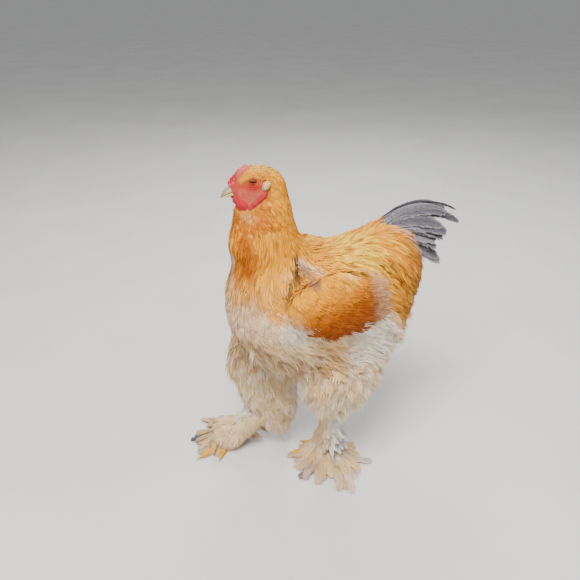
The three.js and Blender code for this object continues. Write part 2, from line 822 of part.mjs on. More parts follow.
const LOOKS = {
  hackle: { color: 0xd9963f, roughness: 0.75, metalness: 0 },
  saddle: { color: 0xdfa955, roughness: 0.75, metalness: 0 },
  wing: { color: 0xc47a2c, roughness: 0.7, metalness: 0 },
  fluff: { color: 0xdcc3a0, roughness: 0.9, metalness: 0 },
  tail: { color: 0x7d7b80, roughness: 0.7, metalness: 0 },
  skin: { color: 0xc0504a, roughness: 0.6, metalness: 0 },
  beak: { color: 0xcdbd9a, roughness: 0.45, metalness: 0 },
  eye: { color: 0x3a1d10, roughness: 0.1, metalness: 0 },
  ear: { color: 0xe8d3ac, roughness: 0.8, metalness: 0 },
  toe: { color: 0xe0b04c, roughness: 0.55, metalness: 0 },
  claw: { color: 0xd8cfae, roughness: 0.4, metalness: 0 },
};

const bird = new THREE.Group();

function addNode(name, solid, look) {
  const mesh = largest(solid).getMesh();
  const geometry = new THREE.BufferGeometry();
  geometry.setAttribute("position", new THREE.BufferAttribute(mesh.vertProperties, 3));
  geometry.setIndex(new THREE.BufferAttribute(mesh.triVerts, 1));
  geometry.computeVertexNormals();
  const node = new THREE.Mesh(geometry, new THREE.MeshStandardMaterial(LOOKS[look]));
  node.name = name;
  bird.add(node);
}

const torsoClear = torso(1.3 * GAP);
const neckClear = neck(GAP);
const headClear = headForm(GAP);
const beakClear = union([beakUpper(GAP), beakLower(GAP)]);
const headAndNeckClear = union([headClear, neckClear]);

addNode("torso", torso(), "saddle");
addNode("neck", neck().subtract(torsoClear), "hackle");
addNode("crown", crown(), "hackle");
addNode("face", face(), "skin");
addNode("tail", tail().subtract(torsoClear), "tail");
addNode("beak_upper", beakUpper().subtract(headClear), "beak");
addNode("beak_lower", beakLower().subtract(headClear).subtract(beakUpper(GAP)), "beak");
addNode("comb", comb().subtract(headClear).subtract(beakClear), "skin");

for (const [name, leg] of Object.entries(LEGS)) {
  const { side } = leg;
  addNode(`eye_${name}`, eye(side), "eye");
  addNode(`ear_tuft_${name}`, earTuft(side).subtract(headAndNeckClear), "ear");
  const earClear = union([headAndNeckClear, earTuft(side, GAP)]);
  addNode(`ear_lobe_${name}`, earLobe(side).subtract(earClear), "skin");
  addNode(`wattle_${name}`, wattle(side).subtract(headAndNeckClear).subtract(beakClear), "skin");
  addNode(`wing_${name}`, wing(name).subtract(torsoClear).subtract(neckClear), "wing");
  addNode(`thigh_${name}`, thigh(name).subtract(torsoClear), "fluff");
  addNode(`shank_${name}`, shank(leg).subtract(thigh(name, GAP)), "fluff");
  addNode(`foot_${name}`, foot(leg).subtract(shank(leg, GAP)), "toe");
  const footClear = foot(leg, GAP);
  for (const one of TOES) addNode(`claw_${name}_${one.name}`, claw(leg, one).subtract(footClear), "claw");
}

// The origin goes on the floor under the middle of the bird.
const box = new THREE.Box3().setFromObject(bird);
const middle = box.getCenter(point(0, 0, 0));
bird.position.set(-middle.x, -middle.y, -box.min.z);

const cockerel = new THREE.Group();
cockerel.add(bird);
cockerel.updateMatrixWorld(true);

export default cockerel;
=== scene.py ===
import math

import bpy
import numpy as np
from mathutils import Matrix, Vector


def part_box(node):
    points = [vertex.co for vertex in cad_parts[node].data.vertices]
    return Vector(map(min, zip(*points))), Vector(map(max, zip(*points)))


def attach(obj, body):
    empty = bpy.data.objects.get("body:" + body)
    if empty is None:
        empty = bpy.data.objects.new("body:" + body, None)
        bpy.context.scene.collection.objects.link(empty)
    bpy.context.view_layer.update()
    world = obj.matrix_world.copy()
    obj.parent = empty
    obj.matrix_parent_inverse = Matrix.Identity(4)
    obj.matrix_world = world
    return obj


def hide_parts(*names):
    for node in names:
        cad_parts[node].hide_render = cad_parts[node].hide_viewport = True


# A life-size brahma cockerel in mid stride: one skin under the feathers, and every region of the
# plumage as mesh feathers that follow its lie. Shapes are worked out in millimetres in the bird's
# own frame (the bird faces -Y, its left side is +X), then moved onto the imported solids.

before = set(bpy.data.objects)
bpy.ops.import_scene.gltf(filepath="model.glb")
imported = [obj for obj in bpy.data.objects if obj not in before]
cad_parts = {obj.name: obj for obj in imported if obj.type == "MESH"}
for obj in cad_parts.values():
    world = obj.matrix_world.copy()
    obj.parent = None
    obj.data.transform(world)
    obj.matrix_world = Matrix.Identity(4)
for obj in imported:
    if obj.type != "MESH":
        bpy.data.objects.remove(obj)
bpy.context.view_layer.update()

MM = 0.001
SIDES = {"left": 1, "right": -1}


# Small vector helpers. Points are rows of an array.


def vec(*values):
    return np.array(values, dtype=float)


def unit(v):
    return v / np.maximum(np.linalg.norm(v, axis=-1, keepdims=True), 1e-9)


def mix(a, b, t):
    return a + (b - a) * t


def smooth(low, high, x):
    """0 below low, 1 above high, and a smooth ramp between them."""
    t = np.clip((x - low) / (high - low), 0, 1)
    return t * t * (3 - 2 * t)


def rotation(axis, angle):
    """Matrix of a turn by an angle in degrees round the axis x or z."""
    c, s = math.cos(math.radians(angle)), math.sin(math.radians(angle))
    rows = {
        "x": [[1, 0, 0], [0, c, -s], [0, s, c]],
        "z": [[c, -s, 0], [s, c, 0], [0, 0, 1]],
    }
    return np.array(rows[axis])


# Driving dimensions, the same as those of the solids

HEAD_CENTRE = vec(0, -118, 545)
HEAD_TURN = rotation("z", -12)
EYE_PLACE = (16.6, -14, 12)
EYE_RADIUS = 5.6

LEGS = {
    "left": dict(
        thigh=vec(47, 2, 205), hock=vec(44, -12, 122), pad=vec(14, -2, 9),
        boot=15, fan_reach=1.0, fluff=6,
    ),
    "right": dict(
        thigh=vec(-50, -86, 170), hock=vec(-50, -102, 98), pad=vec(-84, -166, 9),
        boot=18, fan_reach=0.85, fluff=10,
    ),
}
for leg in LEGS.values():
    leg["ground"] = leg["pad"] * vec(1, 1, 0)
TOES = {
    "inner": dict(angle=-49, length=48, claw=10, radius=5.6),
    "middle": dict(angle=-15, length=66, claw=12, radius=6.2),
    "outer": dict(angle=21, length=50, claw=10, radius=5.6),
    "hind": dict(angle=172, length=25, claw=9, radius=4.8),
}


def on_head(x, y, z):
    """A place given from the middle of the skull, in the head's own frame."""
    return HEAD_CENTRE + HEAD_TURN @ vec(x, y, z)


# The solids stand with their origin under the middle of the bird.
eye_low, eye_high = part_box("eye_left")
SHIFT = (np.array(eye_low) + np.array(eye_high)) / 2 / MM - on_head(*EYE_PLACE)
SHIFT[2] = 0


def to_frame(points):
    return (points + SHIFT) * MM


# Distance fields. Each takes rows of points and gives about how far they lie outside a shape.


def ellipsoid(centre, radii, turn=None):
    centre, radii = np.asarray(centre, float), np.asarray(radii, float)

    def field(p):
        q = p - centre
        if turn is not None:
            q = q @ turn
        q = q / radii
        near = np.linalg.norm(q, axis=1)
        slope = np.linalg.norm(q / radii, axis=1)
        return near * (near - 1) / np.maximum(slope, 1e-6)

    return field


def limb(a, b, radius_a, radius_b, slim=1.0):
    """A tapering limb from a to b, made narrower across the body by the factor slim."""
    axis = b - a

    def field(p):
        offset = p - a
        along = np.clip(offset @ axis / (axis @ axis), 0, 1)
        offset = offset - along[:, None] * axis
        offset[:, 0] /= slim
        return np.linalg.norm(offset, axis=1) - mix(radius_a, radius_b, along)

    return field


def blend(fillet, *fields):
    """Joins fields, with a fillet of about the given size where they meet."""

    def field(p):
        total = fields[0](p)
        for other in fields[1:]:
            value = other(p)
            near = np.maximum(fillet - np.abs(total - value), 0) / fillet
            total = np.minimum(total, value) - near * near * fillet / 4
        return total

    return field


def carve(fillet, field, tool):
    """Takes a tool away from a field, with a soft edge."""

    def carved(p):
        a, b = field(p), -tool(p)
        near = np.maximum(fillet - np.abs(a - b), 0) / fillet
        return np.maximum(a, b) + near * near * fillet / 4

    return carved


def inset(field, depth):
    return lambda p: field(p) + depth


def slope_of(field, p, step=0.7):
    """The direction straight out of a field."""
    parts = []
    for axis in range(3):
        shift = np.zeros(3)
        shift[axis] = step
        parts.append(field(p + shift) - field(p - shift))
    return unit(np.stack(parts, axis=1))


def settle(field, p, height, passes=2):
    """Moves points to the given height over a field's surface."""
    for _ in range(passes):
        p = p + slope_of(field, p) * (height - field(p))[:, None]
    return p


# The head's own coordinates, in rows


def from_head(q):
    return HEAD_CENTRE + q @ HEAD_TURN.T


def to_head(p):
    return (p - HEAD_CENTRE) @ HEAD_TURN


def in_head(field):
    """A field of the bird's frame, read at points given in the head's coordinates."""
    return lambda q: field(from_head(q))


# The bird's form, out to the tips of its plumage

skull = blend(
    7,
    ellipsoid(on_head(0, -2, 4), (23.5, 35, 29), HEAD_TURN),
    ellipsoid(on_head(0, -26, 3), (14, 20, 17), HEAD_TURN),
    *[ellipsoid(on_head(12 * side, -16, -8), (10, 19, 14), HEAD_TURN) for side in SIDES.values()],
)

NECK_LINE = [
    (vec(0, -94, 396), 70), (vec(0, -115, 462), 51), (vec(0, -115, 505), 41), (vec(-1, -108, 534), 28)
]
NECK_SLIM = 0.88
neck_limbs = [
    limb(a, b, radius_a, radius_b, NECK_SLIM)
    for (a, radius_a), (b, radius_b) in zip(NECK_LINE, NECK_LINE[1:])
]
neck_field = blend(12, *neck_limbs)

trunk_field = blend(
    34,
    ellipsoid((0, -84, 348), (86, 92, 98)),
    ellipsoid((0, -22, 290), (80, 98, 88)),
    ellipsoid((0, 12, 356), (86, 112, 78)),
    ellipsoid((0, 96, 368), (64, 74, 80)),
    ellipsoid((0, 74, 288), (74, 68, 84)),
)

thigh_fields = {
    "left": blend(
        18,
        ellipsoid((48, 6, 218), (46, 76, 70)),
        ellipsoid((44, -4, 162), (30, 46, 42)),
    ),
    "right": blend(
        18,
        ellipsoid((-54, -87, 214), (41, 78, 64)),
        ellipsoid((-50, -92, 144), (31, 50, 54)),
        ellipsoid((-44, -76, 88), (23, 32, 50)),
    ),
}

WING_RADII = (22, 84, 51)
WING_LEAN, WING_SPLAY = -8, 5
wing_fields = {
    name: ellipsoid(
        (side * 82, -28, 374), WING_RADII, rotation("x", WING_LEAN) @ rotation("z", WING_SPLAY * side)
    )
    for name, side in SIDES.items()
}


def nearest(fields, p):
    """The least value of two fields at points."""
    one, two = fields
    return np.minimum(one(p), two(p))


def near_wing(p):
    return nearest(wing_fields.values(), p)


def near_thigh(p):
    return nearest(thigh_fields.values(), p)


def body_field(p):
    """Trunk and neck. Their fillet is wide over the breast and narrow over the back."""
    fillet = mix(20, 6, smooth(-95, -65, p[:, 1]))
    return blend(fillet, trunk_field, neck_field)(p)


forehead = ellipsoid(on_head(0, -17, 19.5), (14, 19, 14.5), HEAD_TURN)
neck_and_head = blend(10, body_field, blend(4, skull, forehead))
coat_field = blend(14, body_field, *wing_fields.values())

tail_stump = ellipsoid((0, 118, 430), (26, 40, 26))
smooth_drape = blend(16, coat_field, tail_stump, *thigh_fields.values())

LUMP_SIZE = 32
LUMP_HEIGHT = 6


def lumps(p, size):
    """Irregular rounded lumps of about the given size, from -1 to 1."""
    q = p * (math.pi / size)
    one = np.sin(q @ vec(0.8, 0.5, 0.3) + 1.3) * np.sin(q @ vec(-0.4, 0.7, 0.6) + 0.4)
    two = np.sin(q @ vec(0.3, -1.1, 0.9) + 2.1) * np.sin(q @ vec(1.2, 0.6, -0.8) + 0.9)
    return 0.6 * one + 0.4 * two


def fluffiness(p):
    """How loose the plumage is: 0 on the back and neck, 1 on the belly and the thighs."""
    return smooth(345, 270, p[:, 2])


def draped_field(p):
    return smooth_drape(p) - LUMP_HEIGHT * lumps(p, LUMP_SIZE) * fluffiness(p)


def shank_field(leg, extra):
    return limb(leg["hock"], leg["pad"] + vec(0, 0, 6), leg["boot"] + extra, leg["boot"] + extra)


def boot_field(leg):
    """A shank with the mound of fluff over the foot at its end."""
    mound = ellipsoid(leg["pad"] + vec(0, 0, 21), (leg["boot"] + 7, leg["boot"] + 7, 17))
    return blend(12, shank_field(leg, -1), mound)


# A closed surface from a field: one point in each cell of a grid that the surface passes through.


def surface(field, low, high, cell):
    axes = [np.arange(a, b + cell, cell) for a, b in zip(low, high)]
    grid = np.stack(np.meshgrid(*axes, indexing="ij"), axis=-1)
    shape = grid.shape[:3]
    values = field(grid.reshape(-1, 3)).reshape(shape)
    inside = values < 0
    cells = tuple(n - 1 for n in shape)
    total = np.zeros(cells + (3,))
    count = np.zeros(cells)
    crossings = []
    for axis in range(3):
        first = [slice(None)] * 3
        second = [slice(None)] * 3
        first[axis], second[axis] = slice(0, -1), slice(1, None)
        first, second = tuple(first), tuple(second)
        cross = inside[first] != inside[second]
        share = values[first] / np.where(cross, values[first] - values[second], 1)
        place = grid[first].copy()
        place[..., axis] += share * cell
        place = np.where(cross[..., None], place, 0)
        others = [k for k in range(3) if k != axis]
        for da in (0, 1):
            for db in (0, 1):
                part = [slice(None)] * 3
                part[others[0]] = slice(da, da + cells[others[0]])
                part[others[1]] = slice(db, db + cells[others[1]])
                part = tuple(part)
                total += place[part]
                count += cross[part]
        crossings.append((axis, others, cross, inside[first]))
    used = count > 0
    points = total[used] / count[used][:, None]
    index = np.full(cells, -1)
    index[used] = np.arange(len(points))
    faces = []
    for axis, others, cross, starts_inside in crossings:
        edges = np.argwhere(cross)
        keep = np.ones(len(edges), bool)
        for k in others:
            keep &= (edges[:, k] > 0) & (edges[:, k] < cells[k])
        edges = edges[keep]
        corners = []
        for da, db in ((1, 1), (0, 1), (0, 0), (1, 0)):
            at = edges.copy()
            at[:, others[0]] -= da
            at[:, others[1]] -= db
            corners.append(index[tuple(at.T)])
        quads = np.stack(corners, axis=1)
        outward = starts_inside[tuple(edges.T)]
        if axis == 1:
            outward = ~outward
        faces.append(np.where(outward[:, None], quads, quads[:, ::-1]))
    return points, np.concatenate(faces)


def skin_surface(field, low, high, cell):
    points, faces = surface(field, low, high, cell)
    return settle(field, points, np.zeros(len(points)), passes=3), faces


# Meshes

FLOOR_GAP = 0.3


def make_piece(name, points, faces, material, slot, replaces=(), uvs=None, tint=None):
    """A mesh piece in the frame, from points in millimetres and faces of four corners."""
    mesh = bpy.data.meshes.new(name)
    mesh.vertices.add(len(points))
    mesh.vertices.foreach_set("co", to_frame(points).astype(np.float32).ravel())
    mesh.loops.add(faces.size)
    mesh.loops.foreach_set("vertex_index", faces.astype(np.int32).ravel())
    mesh.polygons.add(len(faces))
    mesh.polygons.foreach_set("loop_start", np.arange(0, faces.size, 4, dtype=np.int32))
    mesh.polygons.foreach_set("use_smooth", np.full(len(faces), True))
    mesh.update(calc_edges=True)
    for layer, values in (uvs or {}).items():
        made = mesh.uv_layers.new(name=layer)
        made.uv.foreach_set("vector", values[faces.ravel()].astype(np.float32).ravel())
    if tint is not None:
        made = mesh.color_attributes.new("Tint", "FLOAT_COLOR", "POINT")
        full = np.concatenate([tint, np.ones((len(tint), 1))], axis=1)
        made.data.foreach_set("color", full.astype(np.float32).ravel())
    mesh.validate()
    piece = bpy.data.objects.new(name, mesh)
    bpy.context.scene.collection.objects.link(piece)
    mesh.materials.append(material)
    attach(piece, "root")
    if replaces:
        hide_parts(*replaces)


# Materials


class Shader:
    """A short way to build a material's nodes."""

    def __init__(self, name):
        self.material = bpy.data.materials.new(name)
        self.material.use_nodes = True
        self.nodes = self.material.node_tree.nodes
        self.links = self.material.node_tree.links
        self.surface = self.nodes["Principled BSDF"]

    def node(self, kind, **settings):
        made = self.nodes.new(kind)
        for key, value in settings.items():
            if key in made.inputs:
                self.set(made, key, value)
            else:
                setattr(made, key, value)
        return made

    def set(self, node, socket, value):
        if isinstance(value, bpy.types.NodeSocket):
            self.links.new(value, node.inputs[socket])
        else:
            node.inputs[socket].default_value = value

    def surface_set(self, **values):
        for key, value in values.items():
            self.set(self.surface, key.replace("_", " "), value)

    def noise(self, scale, detail, vector=None):
        """Noise in the object's own space, in metres, or over another vector."""
        if vector is None:
            vector = self.node("ShaderNodeTexCoord").outputs["Object"]
        return self.node("ShaderNodeTexNoise", Scale=scale, Detail=detail, Vector=vector).outputs["Fac"]

    def ramp(self, factor, *stops):
        made = self.node("ShaderNodeValToRGB", Fac=factor)
        elements = made.color_ramp.elements
        while len(elements) < len(stops):
            elements.new(0.5)
        for element, (position, tone) in zip(elements, stops):
            element.position = position
            element.color = (*tone, 1)
        return made.outputs["Color"]

    def math(self, operation, a, b=0.0):
        made = self.node("ShaderNodeMath", operation=operation)
        self.set(made, 0, a)
        self.set(made, 1, b)
        return made.outputs[0]

    def shaded_tint(self, factor, low, high, darkest):
        """The piece's own tint, darkened down to darkest where the factor is low."""
        own = self.node("ShaderNodeAttribute", attribute_name="Tint").outputs["Color"]
        shade = self.ramp(factor, (low, (darkest,) * 3), (high, (1.0, 1.0, 1.0)))
        made = self.node("ShaderNodeMix", data_type="RGBA", blend_type="MULTIPLY")
        self.set(made, 0, 1.0)
        self.set(made, 6, own)
        self.set(made, 7, shade)
        return made.outputs[2]

    def bump(self, height, strength, distance):
        made = self.node("ShaderNodeBump", Strength=strength, Distance=distance, Height=height)
        self.set(self.surface, "Normal", made.outputs["Normal"])


BARB_RIDGES = 5200.0
STREAK_SCALE = 800


def feather_material(name, roughness, sheen, barb):
    """Feathers: their own tint, with streaks along them and fine barbs aslant of the shaft."""
    shader = Shader(name)
    vane = shader.node("ShaderNodeUVMap", uv_map="Vane").outputs["UV"]
    split = shader.node("ShaderNodeSeparateXYZ", Vector=vane)
    across = shader.math("ABSOLUTE", split.outputs["X"])
    slant = shader.math("SUBTRACT", split.outputs["Y"], shader.math("MULTIPLY", across, 0.9))
    ridge = shader.math("SINE", shader.math("MULTIPLY", slant, BARB_RIDGES))
    drawn_out = shader.node("ShaderNodeVectorMath", operation="MULTIPLY")
    shader.set(drawn_out, 0, vane)
    shader.set(drawn_out, 1, (1.0, 0.06, 1.0))
    streak = shader.noise(STREAK_SCALE, 3, drawn_out.outputs["Vector"])
    shader.surface_set(Base_Color=shader.shaded_tint(streak, 0.3, 0.65, 0.66), Roughness=roughness)
    shader.surface_set(Sheen_Weight=sheen, Sheen_Roughness=0.4, Specular_IOR_Level=0.08)
    height = shader.math("ADD", shader.math("MULTIPLY", ridge, 0.5), streak)
    shader.bump(height, barb, 0.0004)
    return shader.material


def skin_material(name):
    """Skin, scales or horn, with a little mottling over its own tint."""
    shader = Shader(name)
    mottled = shader.shaded_tint(shader.noise(140, 4), 0.3, 0.7, 0.75)
    shader.surface_set(Base_Color=mottled, Roughness=0.9)
    shader.bump(shader.noise(600, 3), 0.4, 0.001)
    return shader.material


# Colours, as linear light


def colour(hex_code):
    parts = [int(hex_code[i : i + 2], 16) / 255 for i in (0, 2, 4)]
    return np.array([((c + 0.055) / 1.055) ** 2.4 if c > 0.04045 else c / 12.92 for c in parts])


GOLD = colour("f29d10")
RICH_GOLD = colour("dc8408")
DEEP_GOLD = colour("b9590a")
PALE_GOLD = colour("ffbd42")
BRIGHT_GOLD = colour("ffc638")
RUST = colour("aa4f0a")
ORANGE = colour("cf7310")
BUFF = colour("eebf80")
CREAM = colour("f9dfb8")
EAR_CREAM = colour("ffd694")
# A dark buff: the own colour of some streaks and feathers, and painted shade in other places.
DARK_BUFF_AND_SHADE = colour("a4713c")
OLIVE_BROWN = colour("4e3812")
WHITE = colour("f6f1e8")
BLUE_WHITE = colour("eef0f2")
SLATE = colour("75747f")
DARK_SLATE = colour("3b3a42")
LAVENDER = colour("9790a0")
PINK_BEIGE = colour("e8bf9c")
CHIN_BEIGE = colour("f4c9a0")
CHEEK_ORANGE = colour("c0601c")
BROW_ORANGE = colour("d97a2c")
BROW_SHADE_BROWN = colour("b5581c")
FACE_RED = colour("c6321f")
CRIMSON = colour("bc0f24")
COMB_RED = colour("c23a48")
COMB_HIGHLIGHT_PINK = colour("f08c98")
PINK = colour("e27f72")
PINK_BROWN = colour("a85c40")
BRISTLE_RED = colour("b5523f")
EYE_SHADE = colour("7c3a18")
LID_SHADE_BROWN = colour("5a2412")
LID_RED = colour("8c2a20")
HORN = colour("ead09a")
TOE_YELLOW = colour("e8a52c")
CLAW_HORN = colour("d8c9a4")


def layered(base, *layers):
    """Lays colours over a base. Each layer is a colour with its cover, from 0 to 1 per point."""
    for tone, cover in layers:
        base = mix(base, tone, np.clip(cover, 0, 1)[..., None])
    return base


def high_gold(p):
    """How far a place lies above the lower edge of the saddle, which falls to the rear."""
    x, y, z = p.T
    return z + 0.35 * (y - 60) + 55 * smooth(32, 78, y)


def trunk_colour(p):
    x, y, z = p.T
    side = np.abs(x)
    gold = smooth(-112, -85, y) * smooth(345, 385, high_gold(p))
    shoulder = smooth(-116, -98, y) * smooth(362, 385, z) * smooth(40, 60, side)
    gold = np.maximum(gold, shoulder)
    # The top of the back is painted a brighter gold: partly its own bright gold, partly a painted
    # highlight from the light above.
    back_highlight = smooth(-50, -20, y) * smooth(60, 10, y) * smooth(395, 415, z)
    tips = smooth(70, 110, y) * smooth(45, 70, side) * smooth(420, 350, z)
    front = smooth(-134, -160, y)
    cape = smooth(-98, -112, y) * smooth(0, 30, z - 368 - 42 * front + 15 * lumps(p, 24))
    breast = smooth(-60, -100, y) * smooth(405, 385, z)
    pale_patch = smooth(-60, -80, y) * smooth(-145, -125, y) * smooth(400, 385, z) * smooth(325, 345, z)
    flank = smooth(-40, -10, y) * smooth(360, 340, z)
    # A darker brown band in the crease between the belly and the thighs: painted shade.
    crease_shade = smooth(22, 6, np.abs(z + y - 160)) * smooth(345, 330, z)
    # Paler on the crests of the lumps and darker in their hollows: painted highlight and painted shade
    # over the fluff.
    lump_light_and_shade = lumps(p, LUMP_SIZE) * fluffiness(p)
    return layered(
        BUFF,
        (CREAM, 0.55 * breast),
        (CREAM, 0.75 * flank),
        (WHITE, 0.65 * flank),
        # The low front of the belly in a darker, warmer buff: partly its own warmer tone, partly painted
        # shade under the body.
        (DARK_BUFF_AND_SHADE, 0.25 * smooth(300, 260, z) * smooth(20, -40, y)),
        (WHITE, 0.6 * pale_patch),
        (WHITE, 0.35 * smooth(0.1, 0.6, lump_light_and_shade)),
        (DARK_BUFF_AND_SHADE, 0.3 * smooth(0.0, -0.5, lump_light_and_shade)),
        (DARK_BUFF_AND_SHADE, 0.6 * crease_shade),
        (PINK_BEIGE, 0.65 * front * smooth(322, 345, z)),
        (GOLD, 0.95 * gold),
        (BRIGHT_GOLD, 0.9 * back_highlight),
        (RICH_GOLD, 0.8 * tips * gold),
        (DARK_BUFF_AND_SHADE, 0.5 * smooth(55, 100, y) * gold),
        (GOLD, 0.85 * cape),
    )


def neck_colour(p):
    x, y, z = p.T
    side = np.abs(x)
    strip = smooth(-122, -142, y) * smooth(418, 446, z) * smooth(516, 494, z) * smooth(2, 12, side)
    return layered(
        GOLD,
        (PALE_GOLD, 0.55 * smooth(490, 430, z)),
        (RUST, 0.6 * strip),
        (PALE_GOLD, 0.35 * smooth(-92, -66, y)),
        (PINK_BEIGE, 0.8 * smooth(-158, -166, y) * smooth(11, 3, side)),
    )


def wing_colour(p):
    """Gold above and in front, rust below and behind, with a pale patch at the rear end."""
    x, y, z = p.T
    high = (z - 322) / 95 - 0.4 * (y + 91) / 120 + 0.15
    rear_edge = 32 - 0.26 * (z - 366)
    rim = smooth(10, 26, y) * smooth(330, 350, z) + smooth(342, 326, z - 0.1 * y)
    return layered(
        ORANGE,
        (RUST, 0.9 * smooth(0.75, 0.25, high)),
        (RUST * 0.7, 0.55 * np.clip(rim, 0, 1)),
        (GOLD, 0.9 * smooth(0.55, 0.95, high)),
        (mix(PINK_BEIGE, GOLD, 0.3) * 0.85, 0.9 * smooth(-7, 9, y - rear_edge)),
    )


def thigh_colour(p):
    x, y, z = p.T
    # Paler on the crests of the lumps and darker in their hollows: painted highlight and painted shade
    # over the fluff.
    lump_light_and_shade = lumps(p, LUMP_SIZE)
    return layered(
        CREAM,
        (BUFF, 0.4 * smooth(140, 250, z)),
        (PINK_BEIGE, 0.4 * smooth(150, 100, z)),
        (WHITE, 0.5 * smooth(0.1, 0.6, lump_light_and_shade)),
        (BUFF, 0.5 * smooth(0.0, -0.5, lump_light_and_shade)),
        # Darker on the upper front of the thighs: painted shade under the breast.
        (DARK_BUFF_AND_SHADE, 0.4 * smooth(-80, -130, y) * smooth(190, 250, z)),
    )


# Streaks of another colour, as lines of places on the left that are mirrored to the right. Some are
# painted light: highlight streaks on the shoulder and the wing, and painted shade in the shoulder's slits
# and along the wing's top.

# Dark slits on the shoulder: painted shade in the gaps between the feathers.
SHOULDER_SHADE_SLITS = [
    [vec(49, -83, 447), vec(61, -88, 423), vec(69, -105, 406), vec(75, -111, 388)],
    [vec(61, -88, 423), vec(72, -86, 407)],
]
SHOULDER_GREY = [[vec(54, -78, 436), vec(61, -67, 421), vec(88, -70, 416)]]
# A cream streak on the shoulder: painted highlight.
SHOULDER_HIGHLIGHT = [[vec(50, -77, 441), vec(51, -61, 431), vec(60, -45, 416)]]
SADDLE_STREAKS = [
    [vec(60, 60, 412), vec(66, 68, 400), vec(69, 74, 390), vec(73, 81, 372)],
    [vec(62, 78, 408), vec(66, 88, 394), vec(70, 95, 378)],
    [vec(63, 91, 400), vec(65, 107, 383), vec(57, 128, 358)],
    [vec(50, 110, 408), vec(55, 122, 390), vec(50, 138, 366)],
]
NECK_STRIP = [[vec(20, -154, 494), vec(26, -154, 462), vec(30, -153, 428)]]
RUMP_EDGE = [[vec(24, 107, 458), vec(30, 125, 447), vec(36, 143, 427), vec(40, 165, 397)]]
# A dark red-brown line along the top of the wing: painted shade in the crease where the wing meets the
# back.
WING_TOP_SHADE = [[vec(51, -18, 421), vec(80, -3, 421), vec(81, 22, 411)]]
# Cream streaks on the wing: painted highlights.
WING_HIGHLIGHTS = [[vec(89, -17, 419), vec(92, 2, 410)], [vec(101, -33, 402), vec(102, -26, 397)]]
SHANK_STREAK = [[vec(34, -106, 102), vec(50, -128, 72), vec(60, -146, 46)]]
SHANK_WHITE = [[vec(52, -124, 106), vec(74, -148, 76)]]


def streaks(p, lines, width):
    """Cover from 0 to 1 of soft streaks along lines of points, the same on both sides."""
    p = np.abs(p * vec(1, 0, 0)) + p * vec(0, 1, 1)
    away = np.full(len(p), np.inf)
    for line in lines:
        for a, b in zip(line, line[1:]):
            along = np.clip((p - a) @ (b - a) / ((b - a) @ (b - a)), 0, 1)
            away = np.minimum(away, np.linalg.norm(p - a - along[:, None] * (b - a), axis=1))
    return smooth(width, 0.35 * width, away)


def marked(p, tone):
    """The streaks of shoulder, saddle and wing over a colour, among them painted highlights and painted
    shade.
    """
    return layered(
        tone,
        (mix(LAVENDER, DARK_BUFF_AND_SHADE, 0.4) * 0.85, 0.7 * streaks(p, SHOULDER_GREY, 11)),
        (CREAM, 0.75 * streaks(p, SHOULDER_HIGHLIGHT, 7)),
        (mix(DARK_SLATE, OLIVE_BROWN, 0.5) * 0.6, 0.95 * streaks(p, SHOULDER_SHADE_SLITS, 8)),
        (OLIVE_BROWN * 0.8, 0.95 * streaks(p, SADDLE_STREAKS, 7)),
        (mix(RUST, DEEP_GOLD, 0.4), 0.75 * streaks(p, NECK_STRIP, 17)),
        (mix(PINK_BEIGE, LAVENDER, 0.3), 0.5 * streaks(p, RUMP_EDGE, 9)),
        (RUST * 0.5, 0.7 * streaks(p, WING_TOP_SHADE, 5)),
        (CREAM, 0.4 * streaks(p, WING_HIGHLIGHTS, 5)),
    )


def marked_trunk(p, tone):
    """The same, with the wing's colours on the feathers of the trunk that overlap it."""
    x, y, z = p.T
    over_wing = smooth(7, 0, near_wing(p)) * smooth(-108, -92, y) * smooth(322, 334, z)
    return marked(p, mix(tone, wing_colour(p), (0.9 * over_wing * smooth(412, 402, z))[:, None]))


def marked_wing(p, tone):
    return marked(p, mix(tone, wing_colour(p), 0.8))


def marked_shank(p, tone):
    """An orange-brown streak down the inner side of the right shank, and white before it."""
    right = p[:, 0] < 0
    return layered(
        tone,
        (WHITE, 0.8 * streaks(p, SHANK_WHITE, 20) * right),
        (mix(ORANGE, DARK_BUFF_AND_SHADE, 0.5), 0.6 * streaks(p, SHANK_STREAK, 10) * right),
    )


# Feathers. Each is a sheaf of tapering ribbons, its barbs, along one line that follows the coat.

BAKE_PATCH = 0.003


def columns(*parts):
    """Joins numbers and arrays as the last axis of one array."""
    return np.stack(np.broadcast_arrays(*parts), axis=-1)


def at(value, p):
    """A size at points, from a number or from a function of place."""
    return value(p) if callable(value) else np.full(len(p), float(value))


def lie(roots, coat, flow, lengths, heights, sway):
    """Lines over a coat: from each root along the flow, at the given heights over its surface."""
    steps = heights.shape[1] - 1
    place = settle(coat, roots, heights[:, 0])
    line, out = [], []
    for step in range(steps + 1):
        normal = slope_of(coat, place)
        line.append(place)
        out.append(normal)
        ahead = unit(flow(place)) + sway
        ahead -= np.sum(ahead * normal, axis=1, keepdims=True) * normal
        place = place + unit(ahead) * (lengths / steps)[:, None]
        if step < steps:
            place = settle(coat, place, heights[:, step + 1], passes=1)
    return np.stack(line, axis=1), np.stack(out, axis=1)


def sample(values, t):
    """What each line holds at the shares t of its length, carried on straight past its end."""
    rows = values.shape[1]
    index = np.clip((t * (rows - 1)).astype(int), 0, rows - 2)
    share = (t * (rows - 1) - index)[..., None]
    who = np.arange(len(values)).reshape((-1,) + (1,) * (t.ndim - 1))
    return mix(values[who, index], values[who, index + 1], share)


def flatten(faces, *arrays):
    """Rows of points, the faces, the two UV maps by name and rows of tint."""
    points, vane, patch, tint = [a.reshape(-1, a.shape[-1]) for a in arrays]
    return points, faces, {"OFBake": patch, "Vane": vane}, tint


